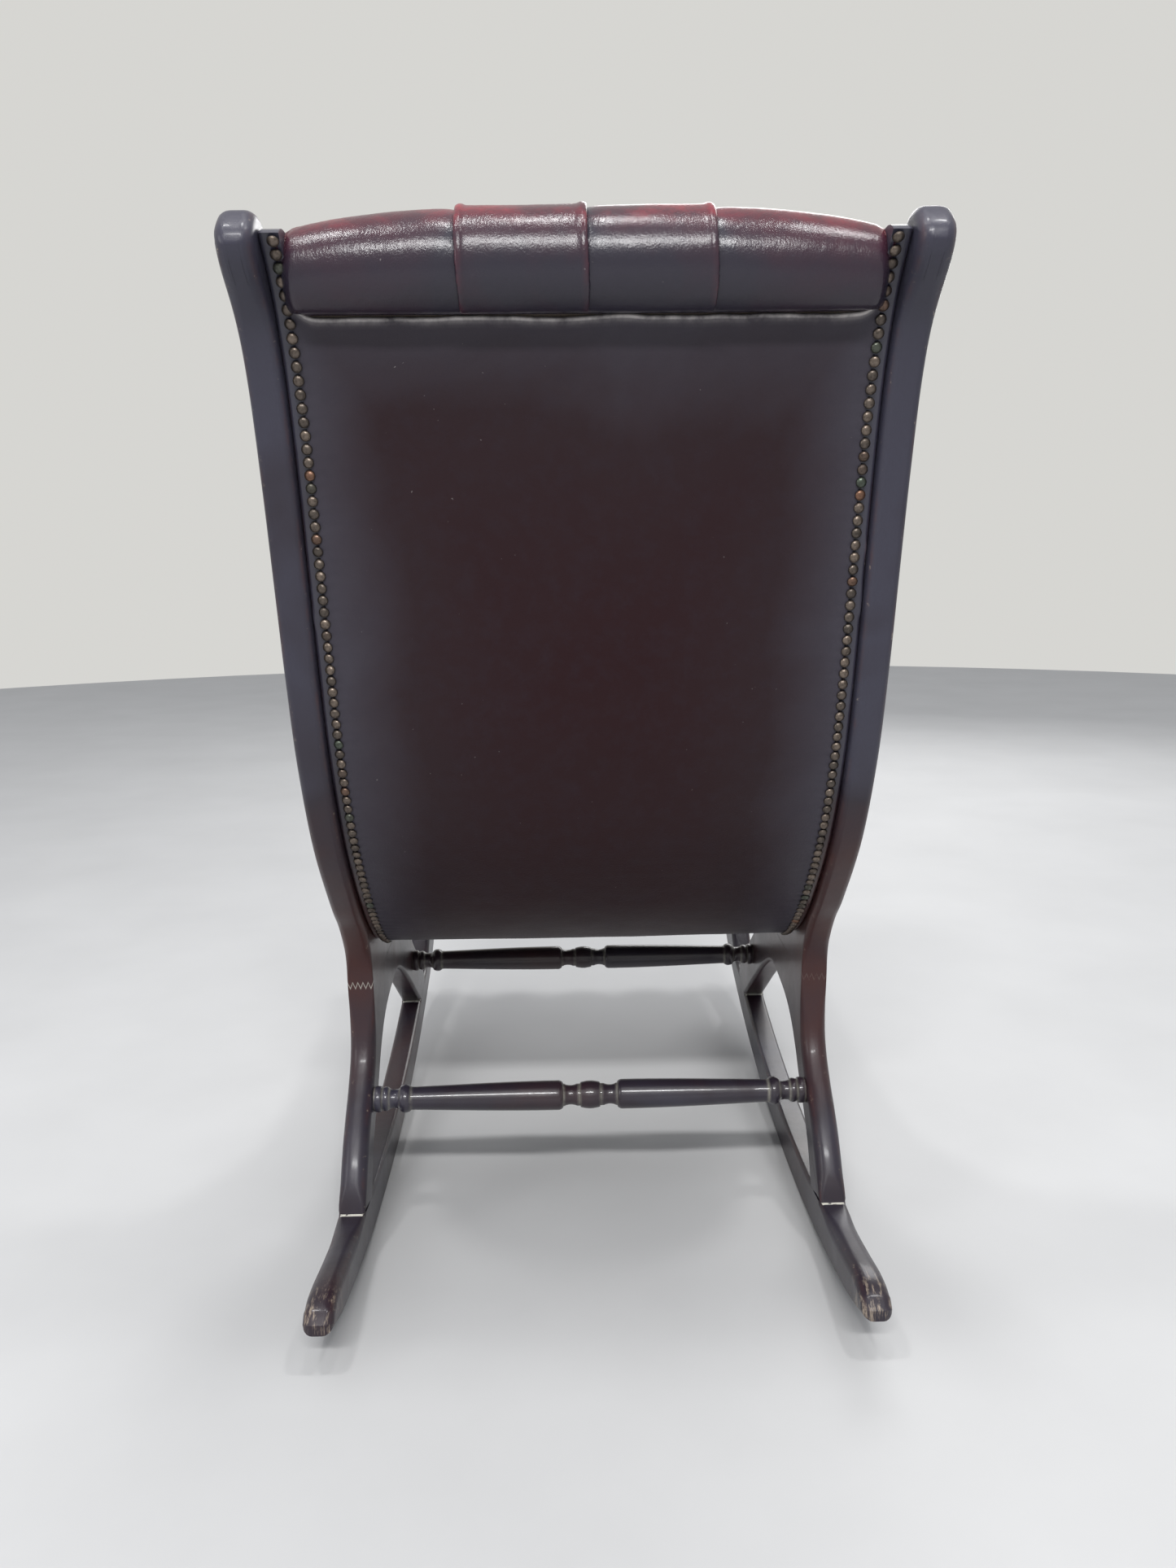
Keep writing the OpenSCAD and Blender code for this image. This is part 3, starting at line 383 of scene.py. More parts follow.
def makeMahogany(name, grain, warmth=0.0, polish=0.12):
    material, shader, place = newMaterial(name)
    look, marks = mahoganyLook, woodMarks
    x, y, z = splitOf(place)
    fibres = stretch(place, grain)
    # partly the wood's own red-brown tone, partly painted warm floor reflection where the stiles sweep down
    # to the legs
    low = 1 - abs((z - marks["floorSheenHeight"]) * 4.5)
    warmToneAndFloorSheen = low.most(0.0) * 0.75 + (noiseOf(place, 5.5, 3, 0.6, 0.4) * 1.3 + (warmth - 0.34))
    # painted cool bluish sheen higher up the stiles
    warmToneAndFloorSheen -= ((z - marks["coolSheenFrom"]) * 2.0).clamp() * 0.45
    base = rampOf(warmToneAndFloorSheen, (0.0, look["coolSheen"]), (0.34, look["dark"]), (1.0, look["warmToneAndFloorSheen"]))
    base = base.mix(noiseOf(fibres, 70, 4, 0.6, 0.6) * 0.4, look["dark"])
    # rubbed arrises
    edge = layerOf(place, "edge")
    rubbed = edge * rampOf(noiseOf(place, 26, 5, 0.7), (0.46, 0.0), (0.66, 1.0))
    base = base.mix(rubbed * 0.4, look["worn"])
    # dust in the grooves of the turnings
    dusty = layerOf(place, "dust")
    patches = rampOf(noiseOf(place, 38, 4, 0.7), (0.36, 0.15), (0.62, 0.95))
    base = base.mix(dusty * patches, look["dust"])
    # small chips down to the bare wood
    chips = rampOf(noiseOf(place, 95, 4, 0.75), (0.63, 0.0), (0.67, 1.0))
    base = base.mix(edge * (chips * 0.5), look["bare"])
    # scuffed tips of the tails
    back = (y - marks["tailFrom"]) * 18.0
    tip = back.least((marks["tailUnder"] - z) * 30.0).clamp()
    streaks = noiseOf(stretch(place, (240, 60, 26)), 1.0, 5, 0.75)
    base = base.mix(tip * rampOf(streaks, (0.52, 0.0), (0.63, 1.0)) * 0.6, look["bare"])
    # glue lines at the feet, on the circle of the rocker's top
    centre = (0, shiftY * mm, (chair["rockerRadius"] + chair["rockerDeep"] - 0.05) * mm)
    flat = put(place.tree, "CombineXYZ", {"X": 0.0, "Y": y, "Z": z})
    reach = put(place.tree, "VectorMath", {0: flat, 1: centre}, "Value", operation="DISTANCE")
    line = abs(reach - chair["rockerRadius"] * mm) < marks["glueHalf"]
    rear, front = (abs(y - marks[foot]) < marks["glueLength"] for foot in ("glueRear", "glueFront"))
    gaps = rampOf(noiseOf(place, 130, 3, 0.6), (0.36, 0.1), (0.44, 1.0))
    glued = line * rear.most(front) * gaps
    # pale filler in the finger joint of the waist
    fold = (abs(x) - innerX * mm).calc("PINGPONG", marks["fillerPitch"])
    joint = (chair["waistHeight"] + chair["tooth"] / 2) * mm - fold * marks["fillerSlope"]
    filled = (abs(z - joint) < marks["fillerHalf"]) * (y > marks["fillerFrom"])
    side = (x > 0.0) * (marks["fillerLeft"] - marks["fillerRight"]) + marks["fillerRight"]
    base = base.mix(glued.most(filled * side * gaps), look["glue"])
    rough = rubbed.most(dusty) * 0.2 + (noiseOf(place, 18, 4, 0.6) * 0.22 + 0.24)
    normal = bumpOf(noiseOf(fibres, 260, 2, 0.7), 0.0004, 0.35)
    normal = bumpOf(noiseOf(place, 42, 3, 0.6), 0.0012, 0.3, normal)
    feed(shader, {"Base Color": base, "Roughness": rough, "Specular IOR Level": 0.32,
                  "Coat Weight": polish, "Coat Roughness": 0.12, "Normal": normal})
    return material


# scuff is pale scuffing on the leather, and on the panel's folded top edge also a painted highlight
leatherLook = {
    "red": (0.092, 0.0085, 0.0150, 1), "deep": (0.042, 0.0120, 0.0220, 1),
    "black": (0.0230, 0.0200, 0.0310, 1), "rub": (0.235, 0.018, 0.032, 1), "paleScuffAndHighlight": (0.66, 0.62, 0.60, 1)
}
# the panel's own red and plum, and in black a painted bluish-grey sheen for its edges and ends
panelLook = {
    "red": (0.0165, 0.0030, 0.0048, 1), "deep": (0.0190, 0.0088, 0.0115, 1),
    "black": (0.0430, 0.0385, 0.0500, 1)
}
# what the flat panel and the padded pieces don't share
panelFeel = {"speck": 0.2, "rough": 0.36, "gloss": 0.2, "crackle": 0.12, "wide": 0.22}
paddedFeel = {"speck": 0.5, "rough": 0.175, "gloss": 0.42, "crackle": 0.2, "wide": 0.14}
panelSheenFade = {"halfWidth": 0.255, "middle": 0.60, "halfHeight": 0.44}


def makeLeather(name, panel=False):
    material, shader, place = newMaterial(name)
    look, feel = leatherLook, panelFeel if panel else paddedFeel
    cloud = noiseOf(place, 4.2, 4, 0.62, 0.6) - 0.5
    if panel:
        # painted bluish-grey sheen towards the nailed edges and the ends; the red middle is the leather's own
        # colour
        x, _, z = splitOf(place)
        wide = abs(x / panelSheenFade["halfWidth"]) ** 2.2
        tall = abs((z - panelSheenFade["middle"]) / panelSheenFade["halfHeight"]) ** 2.6
        tone = cloud * 0.5 + (0.95 - wide.most(tall))
        base = rampOf(tone, (0.0, panelLook["black"]), (0.5, panelLook["deep"]), (1.0, panelLook["red"]))
        patchy = rampOf(noiseOf(place, 34, 4, 0.65), (0.35, 0.15), (0.6, 1.0))
        # painted highlight along the folded top edge, partly pale wear of the fold
        base = base.mix(layerOf(place, "fold") * patchy, look["paleScuffAndHighlight"])
    else:
        # darker where the depth layer is high: hollows, and painted shade on the head roll's underside and on
        # the turned-in caps and skirts
        tone = cloud * 0.9 + (0.62 - layerOf(place, "depth") * 0.75)
        base = rampOf(tone, (0.12, look["black"]), (0.5, look["deep"]), (0.95, look["red"]))
        wear = rampOf(noiseOf(place, 17, 5, 0.7, 0.4), (0.40, 0.0), (0.66, 1.0))
        base = base.mix(layerOf(place, "rub") * wear, look["rub"])
    speck = noiseOf(place, 55, 5, 0.7)
    base = base.mix(rampOf(speck, (0.45, 0.0), (0.75, feel["speck"])), look["black"])
    flecks = rampOf(noiseOf(place, 210, 2, 0.5), (0.775, 0.0), (0.795, 1.0))
    base = base.mix(flecks * 0.16, look["paleScuffAndHighlight"])
    # grain, creases, stretched crackle and wide unevenness
    cells = put(place.tree, "TexVoronoi", {"Vector": place, "Scale": 620.0}, "Distance", feature="SMOOTH_F1")
    crackle = noiseOf(stretch(place, (1, 0.3, 0.3), (0, 0.5, 0)), 430, 3, 0.6, 0.5)
    normal = bumpOf(cells, 0.0004, 0.25)
    normal = bumpOf(noiseOf(place, 190, 5, 0.75, 0.8), 0.0006, 0.28, normal)
    normal = bumpOf(crackle, 0.0010, feel["crackle"], normal)
    normal = bumpOf(noiseOf(place, 22, 4, 0.6), 0.0016, feel["wide"], normal)
    feed(shader, {"Base Color": base, "Roughness": noiseOf(place, 14, 4, 0.65) * 0.14 + feel["rough"],
                  "Specular IOR Level": feel["gloss"], "Normal": normal})
    return material


brassLook = {
    "bright": (0.175, 0.140, 0.115, 1), "dull": (0.088, 0.074, 0.064, 1),
    "green": (0.080, 0.098, 0.078, 1), "copper": (0.19, 0.105, 0.070, 1), "dark": (0.016, 0.013, 0.012, 1)
}


def makeBrass():
    material, shader, place = newMaterial("antiqueBrass")
    look = brassLook
    base = rampOf(layerOf(place, "tone"), (0.0, look["green"]), (0.1, look["dull"]),
                  (0.7, look["bright"]), (0.9, look["dull"]), (1.0, look["copper"]))
    grime = rampOf(noiseOf(place, 330, 4, 0.7), (0.46, 0.0), (0.66, 1.0))
    dirt = (grime * 0.55).most(layerOf(place, "skirt"))
    feed(shader, {"Base Color": base.mix(dirt, look["dark"]), "Metallic": 0.85,
                  "Roughness": dirt * 0.3 + 0.36, "Normal": bumpOf(noiseOf(place, 420, 4, 0.7), 0.0003, 0.4)})
    return material


beechLook = {"dark": (0.33, 0.19, 0.095, 1), "light": (0.56, 0.38, 0.22, 1)}


def makeBeech():
    material, shader, place = newMaterial("rawBeech")
    grain = noiseOf(stretch(place, (1, 12, 12)), 28, 5, 0.65, 0.5)
    base = rampOf(grain, (0.3, beechLook["dark"]), (0.7, beechLook["light"]))
    feed(shader, {"Base Color": base, "Roughness": 0.62, "Normal": bumpOf(grain, 0.0006, 0.4)})
    return material


# name: light, dark, pitch of the threads
wovenLooks = {
    "jute": ((0.30, 0.22, 0.125, 1), (0.11, 0.08, 0.045, 1), 0.0016),
    "blackCloth": ((0.035, 0.034, 0.036, 1), (0.012, 0.012, 0.013, 1), 0.0011),
    "cardTape": ((0.115, 0.090, 0.070, 1), (0.070, 0.055, 0.042, 1), 0.002)
}


def makeWoven(name):
    light, dark, pitch = wovenLooks[name]
    material, shader, place = newMaterial(name)
    x, y, z = splitOf(place)
    across, along = (abs((way * (math.pi / pitch)).calc("SINE")) for way in (x, y + z))
    thread = noiseOf(place, 300, 3, 0.7) * 0.5 + across * along * 0.7
    feed(shader, {"Base Color": rampOf(thread, (0.2, dark), (0.8, light)), "Roughness": 0.9,
                  "Sheen Weight": 0.2, "Normal": bumpOf(thread, pitch * 0.4, 0.6)})
    return material


def makeSteel():
    material, shader, place = newMaterial("screwSteel")
    scratch = noiseOf(place, 260, 3, 0.6)
    feed(shader, {"Base Color": rampOf(scratch, (0.3, 0.32), (0.7, 0.52)), "Metallic": 1.0,
                  "Roughness": scratch * 0.2 + 0.28})
    return material


placeCamera()
lightScene()
layFloor()
mahoganyUp = makeMahogany("mahoganyUp", (9, 9, 1))
mahoganyLong = makeMahogany("mahoganyLong", (9, 1, 9))
mahoganyTurned = makeMahogany("mahoganyTurned", (1, 7, 7), -0.1, 0.5)
mahoganyInner = makeMahogany("mahoganyInner", (9, 9, 1), -0.02, 0.5)
leather = makeLeather("oxbloodLeather")
panelLeather = makeLeather("panelLeather", panel=True)
brass = makeBrass()
beech = makeBeech()
steel = makeSteel()
jute, blackCloth, card = (makeWoven(name) for name in wovenLooks)
print("materials made")


# Show-wood: the CAD solids with rounded arrises
sideWood = {
    "first": 1.2, "steps": 6, "joint": 1.2, "sharp": math.radians(40), "smooth": math.radians(24),
    "holeSize": 0.03, "wornAt": 0.3, "wornWidth": 0.25
}
# where two pieces of a side frame meet, in q, and how near counts as on the joint
meeting = {"near": 0.6, "seatEnd": -241, "legTop": 230, "rearFoot": (136, 190), "frontFoot": (-456, -391)}


def rockerTop(q):
    radius = chair["rockerRadius"]
    flat = math.sqrt(radius ** 2 - chair["rockerFlat"] ** 2)
    return flat - math.sqrt(radius ** 2 - q * q) + chair["rockerDeep"]


def atJoint(q, v):
    waist, joint, near = chair["waistHeight"], chair["joint"], meeting["near"]
    tooth = chair["tooth"] / 2
    if abs(v - waist - tooth) < near and q > -joint - 1:
        return True
    if abs(v - waist) < near and meeting["seatEnd"] < q < -joint + 1:
        return True
    if abs(q + joint) < near and v > waist - 1:
        return True
    if abs(q + chair["arch"]) < near and v > meeting["legTop"]:
        return True
    feet = (meeting["rearFoot"], meeting["frontFoot"])
    return abs(v - rockerTop(q)) < near + 0.1 and any(low < q < high for low, high in feet)


def blend(low, high, t):
    return low + (high - low) * smooth(t)


def roundOf(part, q, v):  # radius of the arris at a place of the side profile
    waist, joint = chair["waistHeight"], sideWood["joint"]
    if part == "rocker":
        onTop = v > rockerTop(q) - 20
        if onTop and 189 < q:
            return blend(5.5, 12.5, (q - 191) / 60)
        if q > 330:
            return blend(3.0, 11.0, (q - 330) / 70)
        return blend(5.0, 7.5, (-q - 480) / 60) if onTop else 3.0
    if part == "seat_side":
        return blend(4.5, 9.0, (-q - 455) / 25)
    if part == "rear_leg":
        rear = q > 164 - 0.86 * (v - 54)
        above = blend(joint, 13.5 if rear else 5.0, (waist - v) / 80)
        return blend(5.0, above, (v - 62) / 30) if rear else above
    if part == "front_leg":
        return 5.5
    if part == "stile":
        knob = math.hypot(q - arris[0] + 26, v - arris[1] + 7)
        return blend(joint, blend(7.5, 11.0, (70 - knob) / 46), (v - waist) / 50)
    return 3.4


def islandsOf(edges):
    left, islands = set(edges), []
    while left:
        group, queue = [], [left.pop()]
        while queue:
            edge = queue.pop()
            group.append(edge)
            for vert in edge.verts:
                for other in vert.link_edges:
                    if other in left:
                        left.remove(other)
                        queue.append(other)
        islands.append(group)
    return islands


def swellArrises(piece, part, sides):  # each arris grows from the first radius to its own
    first = sideWood["first"] * mm
    verts = piece.data.vertices
    for side in sides:
        inward = -1 if part == "inner_rail" or side > (innerX + 1) * mm else 1
        for hand in (-1, 1):
            feet = [v.index for v in verts if abs(abs(v.co.x * hand - side) - first) < mergeGap]
            tree = kdtree.KDTree(len(feet))
            for k, index in enumerate(feet):
                tree.insert((0, verts[index].co.y, verts[index].co.z), k)
            tree.balance()
            moves = {}
            for vert in verts:
                depth = abs(vert.co.x * hand - side)
                if depth > first + mergeGap or not feet:
                    continue
                flat = Vector((0, vert.co.y, vert.co.z))
                foot, k, reach = tree.find(flat)
                wanted = first - math.sqrt(max(0.0, first ** 2 - (first - depth) ** 2))
                if reach < wanted * 0.85 - 3e-5 or reach > wanted * 1.7 + 3e-5:
                    continue
                grow = roundOf(part, foot.y / mm - shiftY, foot.z / mm) / sideWood["first"]
                spot = foot + (flat - foot) * grow
                moves[vert.index] = ((side + inward * depth * grow) * hand, spot.y, spot.z)
            for index, place in moves.items():
                verts[index].co = place


scroll = {
    "height": arris[1] - 19, "spread": 29, "swell": 18, "front": 27, "fade": 16, "soft": 24,
    "cut": 48, "passes": 14, "from": 900
}


def softenScroll(piece):  # takes the corner off between the sweep and the scroll
    data = piece.data

    def away(point):
        return math.hypot(point.y / mm - shiftY - arris[0], point.z / mm - arris[1])

    pick(piece)
    for edge in data.edges:
        a, b = (data.vertices[i].co for i in edge.vertices)
        long = abs(a.x - b.x) < 1e-5 and (a - b).length > 5 * mm
        edge.select = long and max(away(a), away(b)) < scroll["cut"]
    bpy.ops.object.mode_set(mode="EDIT")
    bpy.ops.mesh.select_mode(type="EDGE")
    bpy.ops.mesh.subdivide(number_cuts=2)
    bpy.ops.mesh.select_mode(type="VERT")
    closeEdit()
    for vert in data.vertices:
        vert.select = away(vert.co) < scroll["soft"]
    bpy.ops.object.mode_set(mode="EDIT")
    bpy.ops.mesh.vertices_smooth(factor=0.5, repeat=scroll["passes"], xaxis=False)
    closeEdit()


def swellScroll(piece):  # the stile's end swells to the rear and runs smoothly into the sweep
    for vert in piece.data.vertices:
        q, v = vert.co.y / mm - shiftY, vert.co.z / mm
        if v > scroll["from"]:
            depth = max(0, arris[0] - q)
            if v < arris[1] - 4:
                depth = min((sweep.spot(k) - Vector((q, v))).length for k in range(0, 400, 4))
            share = 1 - smooth((depth - scroll["fade"] + 6) / scroll["front"])
            share *= math.exp(-((v - scroll["height"]) / scroll["spread"]) ** 2)
            vert.co.y += scroll["swell"] * share * mm


def roundArrises(piece, part, cuts=()):
    pick(piece)
    bpy.ops.object.mode_set(mode="EDIT")
    for cut in cuts:  # ends of a foot on the rocker
        bpy.ops.mesh.select_all(action="SELECT")
        bpy.ops.mesh.bisect(plane_co=toWorld(0, (cut, 0)), plane_no=(0, 1, 0))
    closeEdit()
    if part == "stile":
        softenScroll(piece)
    weights = piece.data.attributes.new("bevel_weight_edge", "FLOAT", "EDGE")
    mesh = bmesh.new()
    mesh.from_mesh(piece.data)
    sides = (innerX * mm,) if part == "inner_rail" else (innerX * mm, chair["halfWidth"] * mm)
    arrises = []
    for edge in mesh.edges:
        xs = [abs(v.co.x) for v in edge.verts]
        onSide = any(all(abs(x - side) < mergeGap for x in xs) for side in sides)
        if onSide and len(edge.link_faces) == 2 and edge.calc_face_angle(0) > sideWood["sharp"]:
            points = [(v.co.y / mm - shiftY, v.co.z / mm) for v in edge.verts]
            if not all(atJoint(*p) for p in points) or part == "inner_rail":
                arrises.append(edge)
    for island in islandsOf(arrises):
        spread = [v.co for edge in island for v in edge.verts]
        size = max(max(c[i] for c in spread) - min(c[i] for c in spread) for i in (1, 2))
        if size > sideWood["holeSize"]:  # leaves the screw, dowel and tenon holes sharp
            for edge in island:
                weights.data[edge.index].value = 1.0
    mesh.free()
    bevel = piece.modifiers.new("arris", "BEVEL")
    bevel.limit_method = "WEIGHT"
    bevel.width = sideWood["first"] * mm
    bevel.segments = sideWood["steps"]
    bevel.use_clamp_overlap = False
    bpy.ops.object.modifier_apply(modifier="arris")
    swellArrises(piece, part, sides)
    if part == "stile":
        swellScroll(piece)
    worn = piece.data.attributes.new("edge", "FLOAT", "POINT")
    for i, vert in enumerate(piece.data.vertices):
        x = abs(vert.co.x)
        near = min(abs(x - side) for side in sides) / mm
        radius = roundOf(part, vert.co.y / mm - shiftY, vert.co.z / mm)
        share = 1 - abs(near / radius - sideWood["wornAt"]) / sideWood["wornWidth"]
        worn.data[i].value = max(0.0, share) if near > 0.01 else 0.0
    bpy.ops.object.shade_smooth_by_angle(angle=sideWood["smooth"])
    flats = piece.modifiers.new("flats", "WEIGHTED_NORMAL")
    flats.keep_sharp = True
    bpy.ops.object.modifier_apply(modifier="flats")
    return piece


woodPieces = {
    "stile": (mahoganyUp, ()), "seat_side": (mahoganyLong, ()), "rear_leg": (mahoganyUp, ()),
    "front_leg": (mahoganyUp, ()), "rocker": (mahoganyLong, (189, 137, -392, -455)),
    "inner_rail": (mahoganyInner, ())
}
for part, (material, cuts) in woodPieces.items():
    for hand in ("left", "right"):
        node = part + "_" + hand
        piece = copyNode(node, part.replace("_", " ").title().replace(" ", "") + hand.title())
        roundArrises(piece, part, cuts)
        settle(piece, material, "show_wood", node)
print("show-wood made")


# Turned stretchers: a disc drawn out and scaled ring by ring, as on a lathe
turning = {
    "segments": 40, "half": innerX, "grooves": (0.4, 10.3, 19, 31.5, 46, 235, 255),
    "grooveWidth": 1.1, "smooth": math.radians(38)
}


def bulge(start, end, low, high, steps=7):  # a bead, or a cove when high is below low
    return [(start + (end - start) * k / steps, low + (high - low) * math.sin(math.pi * k / steps) ** 0.7)
            for k in range(1, steps)]


def turnedProfile():
    points = [(0, 14.6)] + bulge(0, 10, 14.6, 16) + [(10, 13.2)] + bulge(10, 19, 13.2, 14.8)
    points += [(19, 12.6)] + bulge(19, 32, 12.6, 11.2, 6) + [(32, 13.6), (32.3, 14.8)]
    points += bulge(32.3, 45.2, 14.8, 17.1, 8) + [(45.5, 14.4), (46, 14), (49, 14), (49.5, 13.9)]
    points += [(49.5 + 179.5 * k / 10, 13.95 + 4.1 * math.sin(math.pi * k / 20) ** 1.1) for k in range(1, 11)]
    points += [(230.6, 17.6), (232.6, 16.7), (234, 15.2), (234.5, 13.7), (236, 13.5)]
    points += bulge(236, 251, 13.4, 11.7, 8) + [(251, 13.4), (255.5, 13.5), (256, 15.2)]
    points += [(256 + 12 * k / 6, 15.2 + 1.8 * math.sin(math.pi * k / 12)) for k in range(1, 7)]
    return points


def turnStretcher(name, node):
    low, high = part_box(node)
    axis = [(a + b) / 2 for a, b in zip(low, high)]
    half = turnedProfile()
    rings = [(-turning["half"] + s, r) for s, r in half] + [(turning["half"] - s, r) for s, r in half[-2::-1]]
    clearSelection()
    bpy.ops.mesh.primitive_circle_add(vertices=turning["segments"], radius=rings[0][1] * mm, fill_type="NGON",
                                      location=(rings[0][0] * mm, axis[1], axis[2]),
                                      rotation=(0, math.pi / 2, 0))
    bar = bpy.context.object
    bar.name = name
    bpy.ops.object.transform_apply(location=True, rotation=True, scale=True)
    openEdit()
    for (x0, r0), (x1, r1) in zip(rings, rings[1:]):
        bpy.ops.mesh.extrude_region_move(TRANSFORM_OT_translate={"value": ((x1 - x0) * mm, 0, 0)})
        bpy.ops.transform.resize(value=(1, r1 / r0, r1 / r0), center_override=(x1 * mm, axis[1], axis[2]))
    bpy.ops.mesh.select_all(action="SELECT")
    bpy.ops.mesh.normals_make_consistent(inside=False)
    bpy.ops.object.mode_set(mode="OBJECT")
    bpy.ops.object.shade_smooth_by_angle(angle=turning["smooth"])
    dust = []
    for vert in bar.data.vertices:
        run = turning["half"] - abs(vert.co.x) / mm
        dust.append(max(math.exp(-((run - groove) / turning["grooveWidth"]) ** 2)
                        for groove in turning["grooves"]))
    paintPoints(bar, "dust", dust)
    return settle(bar, mahoganyTurned, "show_wood", node)


turnStretcher("rearStretcher", "rear_stretcher")
turnStretcher("frontStretcher", "front_stretcher")
print("stretchers turned")


# Close nails: one dome, copied to each CAD nail
nailShape = {
    "segments": 12, "rings": 8, "radius": 5.2, "height": 2.9, "tilt": 5.0, "skirt": 0.5,
    "sink": -0.25, "stand": 0.2, "grime": 0.8, "grimeTop": 0.4, "rimFrom": 4, "smooth": math.radians(60)
}


def startHead(name, shape):
    clearSelection()
    bpy.ops.mesh.primitive_uv_sphere_add(segments=shape["segments"], ring_count=shape["rings"],
                                         radius=shape["radius"] * mm)
    bpy.context.object.name = name
    openEdit()
    return bpy.context.object


def flattenHead(shape):
    bpy.ops.transform.resize(value=(1, 1, shape["height"] / shape["radius"]), center_override=(0, 0, 0))


def modelNail():
    nail = startHead("nailDome", nailShape)
    bpy.ops.mesh.bisect(plane_co=(0, 0, 0), plane_no=(0, 0, -1), clear_outer=True)
    bpy.ops.mesh.select_all(action="SELECT")
    flattenHead(nailShape)
    bpy.ops.mesh.select_all(action="DESELECT")
    mesh = bmesh.from_edit_mesh(nail.data)
    for edge in mesh.edges:
        edge.select_set(edge.is_boundary)
    bmesh.update_edit_mesh(nail.data)
    bpy.ops.mesh.extrude_region_move(TRANSFORM_OT_translate={"value": (0, 0, -nailShape["skirt"] * mm)})
    bpy.ops.mesh.edge_face_add()
    bpy.ops.object.mode_set(mode="OBJECT")
    return nail


def leanOut(draw, out, tilt):  # turns a head to face outwards, a little askew
    lean = Euler([math.radians(draw.gauss(0, tilt)) for _ in range(3)]).to_matrix()
    return (lean @ out.to_track_quat("Z", "X").to_matrix()).to_4x4()


def addCopy(master, place):
    copy = addObject(master.name, master.data.copy())
    copy.data.transform(place)
    return copy


def joinCopies(copies, master, name):
    pick(*copies)
    bpy.ops.object.join()
    row = bpy.context.object
    row.name = name
    bpy.data.objects.remove(master)
    return pick(row)


def nailPlaces(node):
    mesh = bmesh.new()
    mesh.from_mesh(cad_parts[node].data)
    bmesh.ops.remove_doubles(mesh, verts=mesh.verts, dist=mergeGap)
    heads = []
    for island in islandsOf(list(mesh.edges)):
        points = sorted({v for edge in island for v in edge.verts}, key=lambda v: v.co[:])
        middle = sum((v.co for v in points), Vector()) / len(points)
        far = max(points, key=lambda v: (v.co - middle).length)
        rim = [v.co for v in points if abs(v.co.x - middle.x) > nailShape["rimFrom"] * mm]
        base = sum(rim, Vector()) / len(rim)
        heads.append((base, (base - far.co).normalized()))
    mesh.free()
    return sorted(heads, key=lambda head: -head[0].z)


def driveNails(name, node, seed):
    draw = random.Random(seed)
    master = modelNail()
    low = [vert.co.z < nailShape["grimeTop"] * mm for vert in master.data.vertices]
    copies = []
    for base, out in nailPlaces(node):
        turn = leanOut(draw, out, nailShape["tilt"])
        sink = draw.uniform(nailShape["sink"], nailShape["stand"]) * mm
        copy = addCopy(master, Matrix.Translation(base + out * sink) @ turn)
        paintPoints(copy, "tone", [draw.random()] * len(low))
        paintPoints(copy, "skirt", [nailShape["grime"] * onSkirt for onSkirt in low])
        copies.append(copy)
    row = joinCopies(copies, master, name)
    bpy.ops.object.shade_smooth_by_angle(angle=nailShape["smooth"])
    return settle(row, brass, "nail_brass", node)


driveNails("nailRowLeft", "nails_left", 11)
driveNails("nailRowRight", "nails_right", 12)
print("nails driven")


# Leather skins are grids over the sweep: columns across the chair, rows along it
def gridMesh(name, rows):
    width = len(rows[0])
    points = [p for row in rows for p in row]
    faces = [(i * width + j, i * width + j + 1, (i + 1) * width + j + 1, (i + 1) * width + j)
             for i in range(len(rows) - 1) for j in range(width - 1)]
    data = bpy.data.meshes.new(name)
    data.from_pydata(points, [], faces)
    piece = pick(addObject(name, data))
    openEdit()
    bpy.ops.mesh.normals_make_consistent(inside=False)
    bpy.ops.object.mode_set(mode="OBJECT")
    bpy.ops.object.shade_smooth()
    return piece


def thicken(piece, depth):
    pick(piece)
    wall = piece.modifiers.new("thickness", "SOLIDIFY")
    wall.thickness = depth * mm
    wall.offset = -1
    bpy.ops.object.modifier_apply(modifier="thickness")
    return piece


def padSkin(name, rows, hollowsAndShade, rubs, wall, fill, *nodes):
    skin = gridMesh(name, rows)
    paintPoints(skin, "depth", hollowsAndShade)
    paintPoints(skin, "rub", rubs)
    thicken(skin, wall)
    return settle(skin, leather, "leather", *nodes)


def addEnds(rows, hollowsAndShade, rubs, endOf, shades):  # carries each row on past both of its ends
    width = len(rows[0])
    newRows, newHollowsAndShade, newRubs = [], [], []
    for i, row in enumerate(rows):
        left, right = endOf(i, -1, row[0]), endOf(i, 1, row[-1])
        newRows.append(left[::-1] + row + right)
        newHollowsAndShade += shades[::-1] + hollowsAndShade[i * width:(i + 1) * width] + shades
        newRubs += [0] * len(shades) + rubs[i * width:(i + 1) * width] + [0] * len(shades)
    return newRows, newHollowsAndShade, newRubs


def drift(x, s, size, seed):  # soft unevenness, -1 to 1
    return noise.noise(Vector((x / size, s / size, seed)))


outsideBack = {
    "half": 253.6, "from": 71, "to": 903, "dome": 5.5, "columns": 110, "rows": 230, "fold": 3.0,
    "foldSteps": 8, "foldAt": 4.5, "foldEnds": 10, "thick": 1.4, "nailPitch": 11.8, "nailPull": 0.5,
    "lip": 2.8, "lipWidth": 6.5, "tuck": 3.4, "flat": (0.508, 0.838)
}


